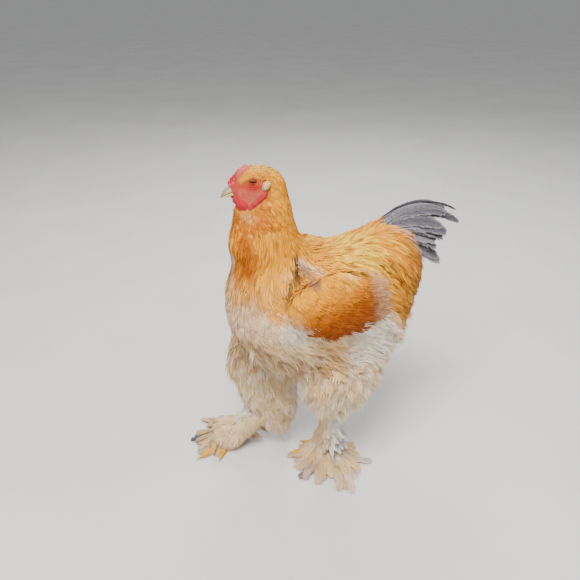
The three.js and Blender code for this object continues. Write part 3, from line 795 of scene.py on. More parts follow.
def strips(middle, aside, vane, patch, tint):
    """Ribbons along the last but one axis. middle and aside give their line and their half width."""
    points = np.stack([middle - aside, middle + aside], axis=-2)
    rows = middle.shape[-2]
    start = np.arange(middle[..., 0].size // rows)[:, None] * rows * 2 + np.arange(rows - 1) * 2
    start = start.reshape(-1)
    faces = np.stack([start, start + 1, start + 3, start + 2], axis=1)
    return flatten(faces, points, vane, patch, np.repeat(tint[..., None, :], 2, axis=-2))


def sheaf(line, out, shape, tints, root_uv, rng):
    """Ribbons along lines. Gives points, faces, the two UV maps and the tint of every point.

    shape holds width, ribbons, cover (how far ribbons overlap), pointed (how much shorter the outer
    ribbons are), splay, camber and ragged (how uneven the ribbon tips are).
    """
    count, rows = line.shape[:2]
    ribbons = shape["ribbons"]
    width = shape["width"][:, None, None]
    along = np.linspace(0, 1, rows)
    lane = (np.arange(ribbons) + 0.5) / ribbons * 2 - 1
    reach = 1 - shape["pointed"] * lane**2
    reach = reach[None, :] * (1 - shape["ragged"] * rng.random((count, ribbons)))
    t = along[None, None, :] * reach[:, :, None]
    normal = unit(sample(out, t))
    tangent = unit(sample(unit(np.gradient(line, axis=1)), t))
    across = unit(np.cross(tangent, normal))
    over = np.cross(across, tangent)
    profile = smooth(-0.15, 0.35, t) * mix(1, 0.75, smooth(0.6, 1, t))
    spread = 1 + shape["splay"] * smooth(0.4, 1, t)
    wave = 0.12 * shape["splay"] * width * np.sin(9 * t + 6.3 * rng.random((count, ribbons, 1)))
    offset = lane[None, :, None] * width / 2 * profile * spread + wave
    half = width / 2 / ribbons * shape["cover"] * profile
    half = half * np.clip((1 - along[None, None, :]) / 0.3, 0.04, 1) ** 0.8
    drop = -shape["camber"] * width * (lane[None, :, None] ** 2) * profile
    drop = drop + 0.35 * rng.random((count, ribbons, 1))
    middle = sample(line, t) + across * offset[..., None] + over * drop[..., None]
    edges = np.stack([offset - half, offset + half], axis=-1)
    vane = columns(edges, (t * width * 4)[..., None]) * MM
    patch = columns(((lane + 1) / 2 * 0.9)[:, None, None] + vec(0, 0.1), along[:, None]) * BAKE_PATCH
    patch = patch + root_uv[:, None, None, None, :]
    return strips(middle, across * half[..., None], vane, patch, tints(t, rng))


def free_lines(roots, start, bend, curl, lengths, rows=10):
    """Lines in free air: each leaves its root along start and bends by the share curl."""
    place, line = roots, []
    for step in range(rows):
        line.append(place)
        ahead = unit(start + bend * (curl * step / (rows - 2))[:, None])
        place = place + ahead * (lengths / (rows - 1))[:, None]
    return np.stack(line, axis=1)


def plume(line, face, shape, tints, root_uv, rng):
    """Feathers with a shaft, from which overlapping barbs slant out to both sides.

    face is the direction across each feather. shape holds width, barbs on each side, slant (how
    far ahead of its root a barb ends, in its own reach), outline (half width at shares of the
    length), camber, ragged, quill (the shaft's radius) and shaft (its colour).
    """
    count, rows = line.shape[:2]
    barbs, width = shape["barbs"], shape["width"]
    length = np.linalg.norm(np.diff(line, axis=1), axis=2).sum(axis=1)[:, None, None, None]
    ahead = unit(np.gradient(line, axis=1))
    face = face[:, None, :] - np.sum(face[:, None, :] * ahead, axis=2, keepdims=True) * ahead
    across = unit(face)
    over = np.cross(across, ahead)
    shares, outline = np.array(shape["outline"]).T
    root = mix(shares[0], 0.97, (np.arange(barbs) + 0.5) / barbs)[None, None, :, None]
    clump = np.repeat(rng.random((count, 2, barbs // 5 + 1)), 5, axis=2)[:, :, :barbs, None]
    loose = 0.5 * clump**2 + 0.5 * rng.random((count, 2, barbs, 1))
    reach = width / 2 * np.interp(root, shares, outline) * (1 - shape["ragged"] * loose)
    u = np.linspace(0, 1, 4)
    side = np.array([-1, 1])[:, None, None]
    t = root + reach * shape["slant"] * u**1.3 / length + 0.02 * (clump - 0.5) * u
    aside = reach * u * side
    lift = 0.5 * rng.random((count, 2, barbs, 1)) - shape["camber"] * aside**2 / width
    normal = unit(sample(over, t))
    middle = sample(line, t) + sample(across, t) * aside[..., None] + normal * lift[..., None]
    edge = np.cross(normal, unit(np.gradient(middle, axis=3)))
    half = 0.6 * length / barbs * (1 - 0.6 * u)
    vane = columns(aside, t * length) * MM
    patch = columns(aside / width + 0.5, np.clip(t, 0, 1)) * BAKE_PATCH
    patch = patch + root_uv[:, None, None, None, :]
    vane, patch = [np.repeat(a[..., None, :], 2, axis=-2) for a in (vane, patch)]
    vanes = strips(middle, edge * half[..., None], vane, patch, tints(t, u, rng))

    # The shaft, a thin tapering rod with four sides
    turn = np.arange(4) * math.pi / 2
    thick = shape["quill"] * mix(1, 0.25, np.linspace(0, 1, rows))
    ring = across[:, :, None, :] * np.cos(turn)[:, None] + over[:, :, None, :] * np.sin(turn)[:, None]
    rod = line[:, :, None, :] + ring * thick[None, :, None, None]
    rod_uv = root_uv[:, None, None, :] + np.zeros(rod.shape[:3] + (2,))
    first = (np.arange(count)[:, None, None] * rows + np.arange(rows - 1)[None, :, None]) * 4
    corner = np.arange(4)[None, None, :]
    following = (corner + 1) % 4
    quads = [first + corner, first + following, first + 4 + following, first + 4 + corner]
    rod_faces = np.stack(quads, axis=-1).reshape(-1, 4)
    shafts = flatten(rod_faces, rod, 0 * rod_uv, rod_uv, np.broadcast_to(shape["shaft"], rod.shape))
    return gather([vanes, shafts])


def gather(parts):
    """Joins the points, faces, UV maps and tints of several parts."""
    starts = np.cumsum([0] + [len(points) for points, _, _, _ in parts])
    points = np.concatenate([part[0] for part in parts])
    faces = np.concatenate([part[1] + start for part, start in zip(parts, starts)])
    maps = {key: np.concatenate([part[2][key] for part in parts]) for key in parts[0][2]}
    return points, faces, maps, np.concatenate([part[3] for part in parts])


def unwrap(points, axis_from, axis_to):
    """A cylindrical unwrap round an axis through the part of the skin that the points lie on."""
    axis = unit(axis_to - axis_from)
    across = unit(np.cross(axis, vec(0.31, 0.87, 0.38)))
    upward = np.cross(axis, across)
    offset = points - axis_from
    angle = np.arctan2(offset @ upward, offset @ across) / (2 * math.pi) + 0.5
    along = offset @ axis
    along = (along - along.min()) / max(np.ptp(along), 1e-6)
    return 0.01 + 0.975 * columns(angle, along)


def feather_piece(name, parts, material, slot, replaces=()):
    points, faces, uvs, tint = gather(parts)
    points[:, 2] = np.maximum(points[:, 2], FLOOR_GAP)
    make_piece(name, points, faces, material, slot, replaces, uvs, tint)


PLAIN_FEATHER = dict(
    rows=6, rise=0.8, cover=1.25, camber=0.1, sway=0.08, mottle=0.09, root_shade=0.6, tip=0,
    flecks=lambda p: [], painted=lambda p, tone: tone,
)


def coat(name, seed, material, slot, field, box, spacing, mask, flow, replaces=(), **shape):
    """One piece of plumage over the part of a field inside a box that the mask keeps.

    shape holds what sheaf needs, and length, depth (of the roots), lift (of the tips), rise (how late
    they lift), rows, sway, mottle, root_shade, colour, tip (cover of cream), flecks (colours with
    their chances), painted (marks laid over the colour along each feather) and axis (of the unwrap).
    """
    shape = {**PLAIN_FEATHER, **shape}
    rng = np.random.default_rng(seed)
    roots, _ = surface(field, *box, spacing)
    roots = roots + rng.uniform(-0.45, 0.45, roots.shape) * spacing
    roots = roots[mask(roots) > rng.random(len(roots))]
    count, rows, depth = len(roots), shape["rows"], shape["depth"]
    lengths = at(shape["length"], roots) * rng.uniform(0.82, 1.15, count)
    lift = at(shape["lift"], roots) * rng.uniform(0.6, 1.3, count)
    heights = -depth + (lift + depth)[:, None] * np.linspace(0, 1, rows)[None, :] ** shape["rise"]
    sway = rng.normal(0, shape["sway"], (count, 3))
    line, out = lie(roots, field, flow, lengths, heights, sway)
    base = shape["colour"](roots) if callable(shape["colour"]) else np.tile(shape["colour"], (count, 1))
    for fleck, chance in shape["flecks"](roots):
        chosen = (rng.random(count) < chance) * rng.uniform(0.15, 0.65, count)
        base = mix(base, fleck, chosen[:, None])
    tone = rng.normal(1, shape["mottle"], (count, 1, 1, 1))
    base = shape["painted"](line.reshape(-1, 3), np.repeat(base, rows, axis=0))
    base = base.reshape(count, rows, 3)

    def tints(t, rng):
        ribbon = rng.normal(1, 0.05, t.shape[:2] + (1, 1))
        root_shade = mix(shape["root_shade"], 1, smooth(0.0, 0.55, t))[..., None]
        tip = at(shape["tip"], roots)[:, None, None, None] * smooth(0.55, 0.95, t)[..., None]
        return np.clip(mix(sample(base, t), CREAM, tip) * root_shade * tone * ribbon, 0, 1)

    shape["width"] = at(shape["width"], roots) * rng.uniform(0.85, 1.15, count)
    uv = unwrap(roots, *shape["axis"])
    feather_piece(name, [sheaf(line, out, shape, tints, uv, rng)], material, slot, replaces)


# Skin

SKIN_CELL = 4.0
skin_field = blend(
    10,
    inset(coat_field, 5),
    inset(skull, 2.5),
    *[inset(field, 11) for field in thigh_fields.values()],
    *[shank_field(leg, -5) for leg in LEGS.values()],
    tail_stump,
)


# The skin under the plumage carries the coat's colours and markings at 0.55 of their brightness: painted
# shade under the feathers.
def shaded_skin_colour(p):
    x, y, z = p.T
    tone = trunk_colour(p)
    tone = mix(tone, neck_colour(p), (smooth(400, 440, z) * smooth(-30, -60, y))[:, None])
    tone = mix(tone, thigh_colour(p), smooth(240, 215, z)[:, None])
    return marked_trunk(p, tone) * 0.55


SKIN = skin_material("skin_under_plumage")
points, faces = skin_surface(skin_field, (-120, -210, 8), (120, 170, 590), SKIN_CELL)
make_piece("skin", points, faces, SKIN, "saddle_feathers", ["torso"], tint=shaded_skin_colour(points))

# Flow of the plumage over the body


def body_flow(p):
    x, y, z = p.T
    side = np.abs(x)
    on_neck = smooth(385, 430, z) * smooth(-25, -60, y)
    on_back = smooth(360, 400, z) * (1 - on_neck)
    breast = smooth(-40, -120, y) * (1 - on_neck)
    over_wing = smooth(30, -10, y) * smooth(25, 60, side)
    low_side = smooth(490, 420, z) * smooth(-60, -95, y)
    flow = columns(0.004 * x, 0.95 - 0.005 * side, -0.25 - 0.01 * side)
    flow = mix(flow, columns(0.004 * x, 0.7, -0.8), over_wing[:, None])
    flow = mix(columns(0.0, 0.8, -0.45 - 0.25 * smooth(20, 120, y)), flow, on_back[:, None])
    flow = mix(flow, columns(0.004 * x, 0.45, -0.9), breast[:, None])
    down = columns(0.006 * x, 0.006 * (y + 118) + 0.08 - 0.4 * low_side, -1.0)
    return mix(flow, down, on_neck[:, None])


HACKLES = feather_material("hackle_feathers", 0.6, 0.02, 0.2)
BODY = feather_material("body_feathers", 0.75, 0.03, 0.15)
FLUFF = feather_material("fluff_feathers", 0.85, 0.05, 0.1)

TRUNK_AXIS = (vec(0, -160, 340), vec(0, 160, 340))
NECK_AXIS = (vec(0, -100, 400), vec(0, -112, 560))
TRUNK_BOX = ((-112, -200, 175), (112, 200, 480))

JAW_CUT = (vec(0, -165, 505), 18)
NECK_CUT = (vec(0, -172, 392), 22)


def rise_over(cut, p):
    """Height over a plane that rises to the rear by the angle of the cut."""
    place, angle = cut
    return (p - place) @ rotation("x", angle)[:, 2]


def on_neck(p):
    below_head = smooth(16, -6, rise_over(JAW_CUT, p))
    return (rise_over(NECK_CUT, p) > 26) * below_head * (p[:, 1] < -20)


def on_wing(p):
    """How far the wing's own plumage covers a place, from 0 to 1. Its front edge is soft."""
    x, y, z = p.T
    within = (near_wing(p) < 3) & (z < 412 + 0.12 * (y + 28)) & (y < 46)
    return within * smooth(-110, -86, y)


def on_trunk(p):
    below_neck = (rise_over(NECK_CUT, p) < 31) | (p[:, 1] > -20)
    leg_apart = near_thigh(p) > body_field(p) + 4
    return below_neck * (1 - on_wing(p)) * leg_apart


def on_thigh(name, p):
    own = thigh_fields[name](p)
    return (own < body_field(p) + 6) & (near_thigh(p) > own - 0.1)


def is_saddle(p):
    return smooth(-75, -50, p[:, 1]) * smooth(340, 380, high_gold(p))


def is_rear(p):
    return smooth(78, 96, p[:, 1])


def saddle_flecks(p):
    x, y, z = p.T
    rear = smooth(50, 90, y) * smooth(430, 395, z)
    return [(OLIVE_BROWN, 0.6 * rear), (DEEP_GOLD, 0.25), (PALE_GOLD, 0.2)]


def belly_flecks(p):
    x, y, z = p.T
    low = smooth(345, 290, z) * smooth(30, -30, y)
    return [(DARK_BUFF_AND_SHADE, 0.1 + 0.3 * low), (CREAM, 0.3 * smooth(375, 350, z))]


def up_neck(p):
    return smooth(430, 520, p[:, 2])


coat(
    "neck_hackles", 101, HACKLES, "hackle_feathers",
    coat_field, ((-100, -190, 370), (100, -10, 545)), 4.1, on_neck, body_flow, ["neck"],
    length=lambda p: mix(70, 46, up_neck(p)) * mix(1, 0.6, smooth(-90, -60, p[:, 1])),
    width=lambda p: mix(11, 7.5, up_neck(p)),
    lift=lambda p: mix(6, 1.8, smooth(410, 510, p[:, 2])),
    depth=4, rows=7, ribbons=3, pointed=0.4, splay=0.15, ragged=0.3, mottle=0.12, root_shade=0.5,
    colour=neck_colour, tip=lambda p: 0.4 * smooth(470, 430, p[:, 2]), painted=marked, axis=NECK_AXIS,
    flecks=lambda p: [(DEEP_GOLD, 0.25), (PALE_GOLD, 0.3)],
)


def trunk_coat(name, seed, material, slot, spacing, mask, **shape):
    coat(
        name, seed, material, slot, draped_field, TRUNK_BOX, spacing, mask, body_flow,
        colour=trunk_colour, painted=marked_trunk, axis=TRUNK_AXIS, root_shade=0.5, **shape,
    )


trunk_coat(
    "saddle_hackles", 102, HACKLES, "saddle_feathers", 4.9,
    lambda p: on_trunk(p) * is_saddle(p),
    length=lambda p: mix(44, 68, smooth(-20, 90, p[:, 1])),
    lift=lambda p: mix(3.5, 7, smooth(0, 100, p[:, 1])),
    width=11, depth=4, ribbons=3, pointed=0.4, splay=0.12, ragged=0.25, mottle=0.14,
    flecks=saddle_flecks,
)
trunk_coat(
    "breast_and_flank_feathers", 103, BODY, "saddle_feathers", 5.6,
    lambda p: on_trunk(p) * (1 - is_saddle(p)) * (1 - is_rear(p)),
    length=34, width=19, depth=4, lift=3.6, rows=5, ribbons=5, pointed=0.25, splay=0.3, ragged=0.3,
    flecks=belly_flecks,
)
trunk_coat(
    "rear_fluff", 104, FLUFF, "fluff", 5.4,
    lambda p: on_trunk(p) * (1 - is_saddle(p)) * is_rear(p),
    length=46, width=22, depth=5, lift=8, rows=5, ribbons=6, pointed=0.2, splay=0.5, ragged=0.45,
)


def wing_flow(p):
    return columns(0.0, 1.0, -0.5 + 0.0015 * (p[:, 1] + 28))


def lock_mask(p):
    return fluffiness(p) * (rise_over(NECK_CUT, p) < 0) * (p[:, 2] > 40)


def lock_flow(p):
    return mix(body_flow(p), vec(0, 0.15, -1), smooth(250, 225, p[:, 2])[:, None])


def lock_colour(p):
    return mix(trunk_colour(p), thigh_colour(p), smooth(255, 230, p[:, 2])[:, None])


for name, side in SIDES.items():
    low, high = sorted((20 * side, 112 * side))
    coat(
        f"wing_feathers_{name}", 110 + side, HACKLES, "wing_feathers",
        draped_field, ((low, -125, 310), (high, 70, 440)), 5.0,
        lambda p: on_wing(p) * (p[:, 0] * side > 0), wing_flow, [f"wing_{name}"],
        length=lambda p: mix(26, 42, smooth(-90, 20, p[:, 1])),
        width=15, depth=2, lift=4, rows=5, ribbons=4, pointed=0.25, splay=0.12, camber=0.12, ragged=0.2,
        mottle=0.13, root_shade=0.5, colour=wing_colour, painted=marked_wing, axis=TRUNK_AXIS,
    )
    thigh = LEGS[name]["thigh"]
    low, high = [np.array(corner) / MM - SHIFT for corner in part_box(f"thigh_{name}")]
    coat(
        f"thigh_fluff_{name}", 120 + side, FLUFF, "fluff",
        draped_field, (low - 6, high + 6), 5.4, lambda p: on_thigh(name, p),
        lambda p: columns(0.003 * (p - thigh)[:, 0], 0.12 + 0.004 * (p - thigh)[:, 1], -1.0),
        [f"thigh_{name}"],
        length=lambda p: mix(50, 36, smooth(220, 120, p[:, 2])),
        width=22, depth=9, lift=6, rows=4, ribbons=6, pointed=0.2, splay=0.6, ragged=0.5, sway=0.16,
        root_shade=0.7, colour=thigh_colour, axis=(thigh + vec(0, 0, 60), thigh - vec(0, 0, 90)),
    )

for name, side in SIDES.items():
    low, high = sorted((-side, 115 * side))
    coat(
        f"loose_fluff_{name}", 140 + side, FLUFF, "fluff",
        draped_field, ((low, -180, 40), (high, 180, 345)), 10.0, lock_mask, lock_flow,
        length=44, width=19, depth=2, lift=14, rise=1.25, rows=5, ribbons=9, cover=0.8, pointed=0.35,
        splay=-0.15, camber=0.25, ragged=0.45, sway=0.3, mottle=0.08, root_shade=0.75,
        colour=lock_colour, tip=0.5, flecks=lambda p: [(DARK_BUFF_AND_SHADE, 0.12), (WHITE, 0.15)],
        axis=TRUNK_AXIS,
    )

# Tail: tiers of quills on a short stump. The upper ones are long and bend down behind, the lower
# ones are short and spread to the sides. A few long plumes lie over them.

TAIL_ROWS = [
    dict(share=0.0, y=86, z=451, pitch=32, curl=0.95, fan=22, length=132),
    dict(share=0.35, y=95, z=444, pitch=23, curl=0.95, fan=28, length=108),
    dict(share=0.6, y=104, z=437, pitch=10, curl=0.9, fan=30, length=88),
    dict(share=1.0, y=110, z=429, pitch=-2, curl=0.85, fan=28, length=100),
]
TAIL_TIERS, QUILLS, TAIL_WIDTH, ROOF = 11, 12, 27, 50
PLUME = dict(y=84, z=451, pitch=32, curl=0.96, fan=7, length=182)
PLUMES, PLUME_WIDTH, PLUME_ROOF = 4, 0.6 * TAIL_WIDTH, 85
TAIL = feather_material("tail_feathers", 0.6, 0.06, 0.2)
TAIL_AXIS = (vec(0, 90, 420), vec(0, 160, 440))


def tier_at(share):
    """The sizes of a tier of quills, from 0 for the uppermost to 1 for the lowest."""
    shares = [row["share"] for row in TAIL_ROWS]
    return {key: np.interp(share, shares, [row[key] for row in TAIL_ROWS]) for key in TAIL_ROWS[0]}


def tail_tier(tier, count, width, roof, rng):
    """A row of tail feathers. roof is how far the outermost ones are turned on edge, in degrees."""
    aside = np.linspace(-1, 1, count) + rng.uniform(-0.08, 0.08, count)
    yaw = np.radians(tier["fan"] / 2 * aside)
    rise = np.radians(tier["pitch"] - 5 * np.abs(aside) + rng.uniform(-3, 3, count))
    start = columns(np.sin(yaw) * np.cos(rise), np.cos(yaw) * np.cos(rise), np.sin(rise))
    roots = vec(0, tier["y"], tier["z"]) + columns(12 * aside, 0.0, -6 * np.abs(aside))
    curl = tier["curl"] * rng.uniform(0.85, 1.15, count)
    lengths = tier["length"] * rng.uniform(0.82, 1.04, count)
    line = free_lines(roots, start, vec(0, 0, -1), curl, lengths)
    turn = math.radians(roof) * aside
    face = columns(np.cos(turn), 0.0, -np.sin(turn))
    low = smooth(5, -20, tier["pitch"])
    base = mix(SLATE, LAVENDER, rng.random((count, 1)))
    base = mix(base, mix(DARK_BUFF_AND_SHADE, LAVENDER, 0.55) * 0.85, 0.7 * low + 0.15)
    base = base * rng.uniform(0.45, 1.05, (count, 1))

    def tints(t, u, rng):
        dark = smooth(0.4, 0.0, u) * 0.45 + 0.3 * rng.random(t.shape[:3] + (1,)) ** 3
        tone = mix(base[:, None, None, None, :], DARK_SLATE, dark[..., None])
        return mix(tone, WHITE * 0.85, (0.32 * smooth(0.6, 1.0, u))[..., None])

    shape = dict(
        width=width * mix(1, 1.15, low), barbs=34, slant=1.9, camber=0.3, ragged=0.4,
        outline=[(0.08, 0.3), (0.25, 0.85), (0.55, 1.0), (0.8, 0.75), (0.93, 0.4), (1, 0.1)],
        quill=0.8, shaft=SLATE * 1.1,
    )
    return plume(line, face, shape, tints, unwrap(roots, *TAIL_AXIS), rng)


rng = np.random.default_rng(201)
shares = np.linspace(0, 1, TAIL_TIERS)
tiers = [tail_tier(tier_at(share), QUILLS, TAIL_WIDTH, ROOF, rng) for share in shares]
tiers.append(tail_tier(PLUME, PLUMES, PLUME_WIDTH, PLUME_ROOF, rng))
feather_piece("tail_quills", tiers, TAIL, "tail_feathers", ["tail"])


def tail_base_colour(p):
    x, y, z = p.T
    return layered(
        SLATE,
        (LAVENDER, 0.5),
        (PINK_BEIGE, 0.75 * smooth(450, 425, z)),
        (RICH_GOLD, 0.9 * smooth(122, 108, y) * smooth(430, 445, z)),
    )


coat(
    "tail_coverts", 202, TAIL, "tail_feathers",
    draped_field, ((-44, 96, 385), (44, 168, 470)), 4.2,
    lambda p: (tail_stump(p) < 8) & (p[:, 1] > 112),
    lambda p: columns(0.02 * p[:, 0], 1.0, 0.015 * (p[:, 2] - 430) + 0.1),
    length=54, width=15, depth=3, lift=10, ribbons=5, pointed=0.4, splay=0.1, ragged=0.35, mottle=0.2,
    colour=tail_base_colour, axis=TAIL_AXIS,
)

# Legs: feathered shanks, toes with scutes and the fans of feathers over the feet

FAN_RIM = np.array([(-30, 52), (-6, 76), (30, 88), (67, 97), (102, 120), (128, 88), (154, 60)])
FAN_LAYERS = [
    dict(count=21, reach=1.0, root=8, tip=0.9, arch=3, width=18, tone=PINK_BEIGE),
    dict(count=20, reach=0.88, root=18, tip=3, arch=4, width=19, tone=BUFF),
    dict(count=20, reach=0.72, root=28, tip=6, arch=5, width=18, tone=BUFF),
    dict(count=18, reach=0.58, root=38, tip=12, arch=5, width=15, tone=CREAM),
]
SLATE_ANGLE = 40
BOOT_ROWS = [
    dict(down=0.2, count=20, length=34, width=8),
    dict(down=0.36, count=22, length=36, width=8),
    dict(down=0.5, count=24, length=38, width=9),
    dict(down=0.66, count=24, length=38, width=9),
]
BOOT_SPAN = 125
LOWEST_TIP = 1.5
TOE_CELL = 1.5
SCUTE = 4.4
SHANK_LOOK = feather_material("shank_feathers", 0.8, 0.04, 0.15)
TOE_SKIN = skin_material("toe_scales")
CLAW = skin_material("claw_horn")


def foot_direction(side, angle):
    angle = np.radians(np.asarray(angle, float))
    return columns(side * np.sin(angle), -np.cos(angle), 0.0)


def fan_layer(name, layer, rng):
    """One layer of the fan over a foot. One feather group in it is slate, the rearmost are pale."""
    leg, side, count = LEGS[name], SIDES[name], layer["count"]
    low, high = FAN_RIM[0, 0], FAN_RIM[-1, 0]
    angle = np.linspace(low, high, count) + rng.uniform(-7, 7, count)
    reach = np.interp(angle, *FAN_RIM.T) * leg["fan_reach"] * layer["reach"]
    reach = reach * rng.uniform(0.8, 1.02, count)
    t = np.linspace(0, 1, 8)
    veer = angle[:, None] + rng.uniform(-16, 16, (count, 1)) * t**2
    line = leg["ground"] + foot_direction(side, veer) * mix(9, reach[:, None], t)[..., None]
    line[..., 2] = mix(layer["root"], layer["tip"], t) + layer["arch"] * np.sin(math.pi * t)
    line[..., 2] += rng.uniform(0, 3, (count, 1))
    rearmost = smooth(80, 105, angle)[:, None] * (layer["reach"] > 0.9)
    base = mix(layer["tone"], mix(WHITE, LAVENDER, 0.4), 0.8 * rearmost)
    base = mix(base, CREAM, 0.6 * rng.random((count, 1))) * rng.uniform(0.8, 1.0, (count, 1))
    slate = np.exp(-(((angle - SLATE_ANGLE) / 8) ** 2))[:, None] * smooth(0.6, 0.9, layer["reach"])
    base = mix(base, SLATE * 0.8, 0.85 * slate + 0.3 * (rng.random((count, 1)) < 0.08))

    def tints(t, u, rng):
        # Darker at the roots: painted shade under the layers above.
        tone = mix(base[:, None, None, None, :], DARK_BUFF_AND_SHADE, (0.3 * smooth(0.4, 0.0, t))[..., None])
        tone = mix(tone, LAVENDER, (0.25 * smooth(0.25, 0.0, u) * smooth(0.5, 0.9, t))[..., None])
        return tone * rng.uniform(0.86, 1.0, t.shape[:3] + (1, 1))

    shape = dict(
        width=layer["width"], barbs=32, slant=1.6, camber=0.5, ragged=0.45,
        outline=[(0.02, 0.5), (0.3, 0.85), (0.6, 1.0), (0.82, 0.85), (0.93, 0.5), (1, 0.12)],
        quill=0.6, shaft=CREAM * 0.8,
    )
    face, uv = foot_direction(side, angle + 90), unwrap(line[:, 0], leg["pad"], leg["hock"])
    return plume(line, face, shape, tints, uv, rng)


def shank_tone(side, out):
    """Buff in front and on the inner side, bluish white behind and outside."""
    behind = smooth(0.1, 0.8, out @ vec(0.75 * side, 0.65, 0))[:, None]
    return mix(mix(BUFF, CREAM, 0.6), BLUE_WHITE, 0.8 * behind)


def boot_row(name, row, rng):
    """Feathers round the outer half and more of a shank. Those at the rear outer side stand out."""
    leg, side, count = LEGS[name], SIDES[name], row["count"]
    turn = np.radians(np.linspace(-BOOT_SPAN, BOOT_SPAN, count) + rng.uniform(-9, 9, count))
    out = columns(side * np.cos(turn), np.sin(turn), 0.0)
    down = row["down"] + rng.uniform(-0.1, 0.1, (count, 1))
    roots = mix(leg["hock"], leg["pad"], down) + out * (leg["boot"] - 5)
    outer = smooth(-0.5, 0.8, np.cos(turn - math.radians(50)))[:, None]
    start = out * mix(0.2, 0.9, outer) * rng.uniform(0.6, 1.3, (count, 1)) - vec(0, 0, 1)
    lengths = row["length"] * rng.uniform(0.8, 1.1, count)
    line = free_lines(roots, start, out, 0.9 * outer[:, 0], lengths, rows=7)
    line[..., 2] = np.maximum(line[..., 2], LOWEST_TIP)
    base = shank_tone(side, out) * rng.uniform(0.88, 1.0, (count, 1))

    def tints(t, u, rng):
        # Darker at the roots: painted shade under the rows above.
        tone = mix(base[:, None, None, None, :], DARK_BUFF_AND_SHADE, (0.4 * smooth(0.5, 0.0, t))[..., None])
        return tone * rng.uniform(0.9, 1.06, t.shape[:3] + (1, 1))

    shape = dict(
        width=row["width"], barbs=24, slant=2.2, camber=0.4, ragged=0.7,
        outline=[(0.05, 0.5), (0.4, 1.0), (0.75, 0.8), (0.93, 0.45), (1, 0.1)],
        quill=0.4, shaft=CREAM * 0.8,
    )
    face, uv = columns(-out[:, 1], out[:, 0], 0.0), unwrap(roots, leg["pad"], leg["hock"])
    return plume(line, face, shape, tints, uv, rng)


def shank_out(leg, p):
    """Level directions from the line of a shank to points."""
    axis = leg["pad"] - leg["hock"]
    along = np.clip((p - leg["hock"]) @ axis / (axis @ axis), 0, 1)
    return unit((p - leg["hock"] - along[:, None] * axis) * vec(1, 1, 0))


def rod_field(stations):
    """Limbs through stations, each a place and a radius."""
    limbs = [limb(a, b, ra, rb) for (a, ra), (b, rb) in zip(stations, stations[1:])]
    return blend(3, *limbs)


def toe_field(leg, toe, ahead):
    """A toe with the row of broad scales over its top."""
    radius = toe["radius"]
    shares = [(0, 11, 1.1), (0.3, 1.2 * radius, 1), (0.6, 0.92 * radius, 0.92), (0.9, 0.8 * radius, 0.8)]
    rod = rod_field([
        (leg["ground"] + ahead * toe["length"] * share + vec(0, 0, height), radius * size)
        for share, height, size in shares
    ])
    across = np.cross(ahead, vec(0, 0, 1))

    def field(p):
        offset = p - leg["ground"]
        wave = np.abs(np.sin(math.pi * (offset @ ahead) / SCUTE + 0.5))
        top = smooth(0.55, 0.9, 1 - np.abs(offset @ across) / radius) * smooth(2, 6, p[:, 2])
        return rod(p) - 0.7 * wave**0.6 * top

    return field


def smooth_curve(stations, steps):
    """A smooth curve through rows of numbers, with the given steps between two of them."""
    rows = np.array(stations, float)
    padded = np.concatenate([2 * rows[:1] - rows[1:2], rows, 2 * rows[-1:] - rows[-2:-1]])
    made = []
    for i in range(len(rows) - 1):
        a, b, c, d = padded[i : i + 4]
        bend, twist = 2 * a - 5 * b + 4 * c - d, 3 * b - a - 3 * c + d
        for t in np.linspace(0, 1, steps, endpoint=False):
            made.append(0.5 * (2 * b + (c - a) * t + bend * t**2 + twist * t**3))
    made.append(rows[-1])
    return np.array(made)


def loft(centres, sizes, section, sides):
    """A closed form round a line of centres. section gives x and z from -1 to 1 for the cosine and
    the sine of an angle."""
    ahead = unit(np.gradient(centres, axis=0))
    across = unit(np.cross(ahead, vec(0, 0, 1)))
    over = np.cross(across, ahead)
    angle = np.arange(sides) / sides * 2 * math.pi
    x, z = section(np.cos(angle), np.sin(angle))
    ends = np.array([0, *range(len(centres)), len(centres) - 1])
    scale = np.ones(len(ends))
    scale[[0, -1]] = 0.02
    rings = []
    for i, size in zip(ends, scale):
        wide = size * sizes[i, 0] * x[:, None] * across[i]
        rings.append(centres[i] + wide + size * sizes[i, 1] * z[:, None] * over[i])
    start = np.arange(len(ends) - 1)[:, None] * sides
    one = np.arange(sides)[None, :]
    two = (one + 1) % sides
    quads = [start + one, start + sides + one, start + sides + two, start + two]
    return np.concatenate(rings), np.stack(quads, axis=-1).reshape(-1, 4)


def make_claw(name, ground, toe, ahead, replaces):
    radius, tip, start = toe["radius"], toe["claw"], toe["length"] - 3
    stations = [
        (start, 0.9 * radius, 0.46 * radius),
        (start + 0.4 * tip, 0.95 * radius, 0.38 * radius),
        (start + 0.75 * tip, 0.72 * radius, 0.24 * radius),
        (start + tip, 0.32 * radius, 0.5),
    ]
    rows = smooth_curve(stations, 6)
    centres = ground + rows[:, :1] * ahead + rows[:, 1:2] * vec(0, 0, 1)
    points, faces = loft(centres, rows[:, 2:3] * vec(0.85, 1.0), lambda x, z: (x, z), 16)
    points[:, 2] = np.maximum(points[:, 2], FLOOR_GAP)
    shade = smooth(start + tip, start, (points - ground) @ ahead)
    tone = layered(CLAW_HORN, (DARK_BUFF_AND_SHADE, 0.4 * shade))
    make_piece(name, points, faces, CLAW, "claw", replaces, tint=tone)


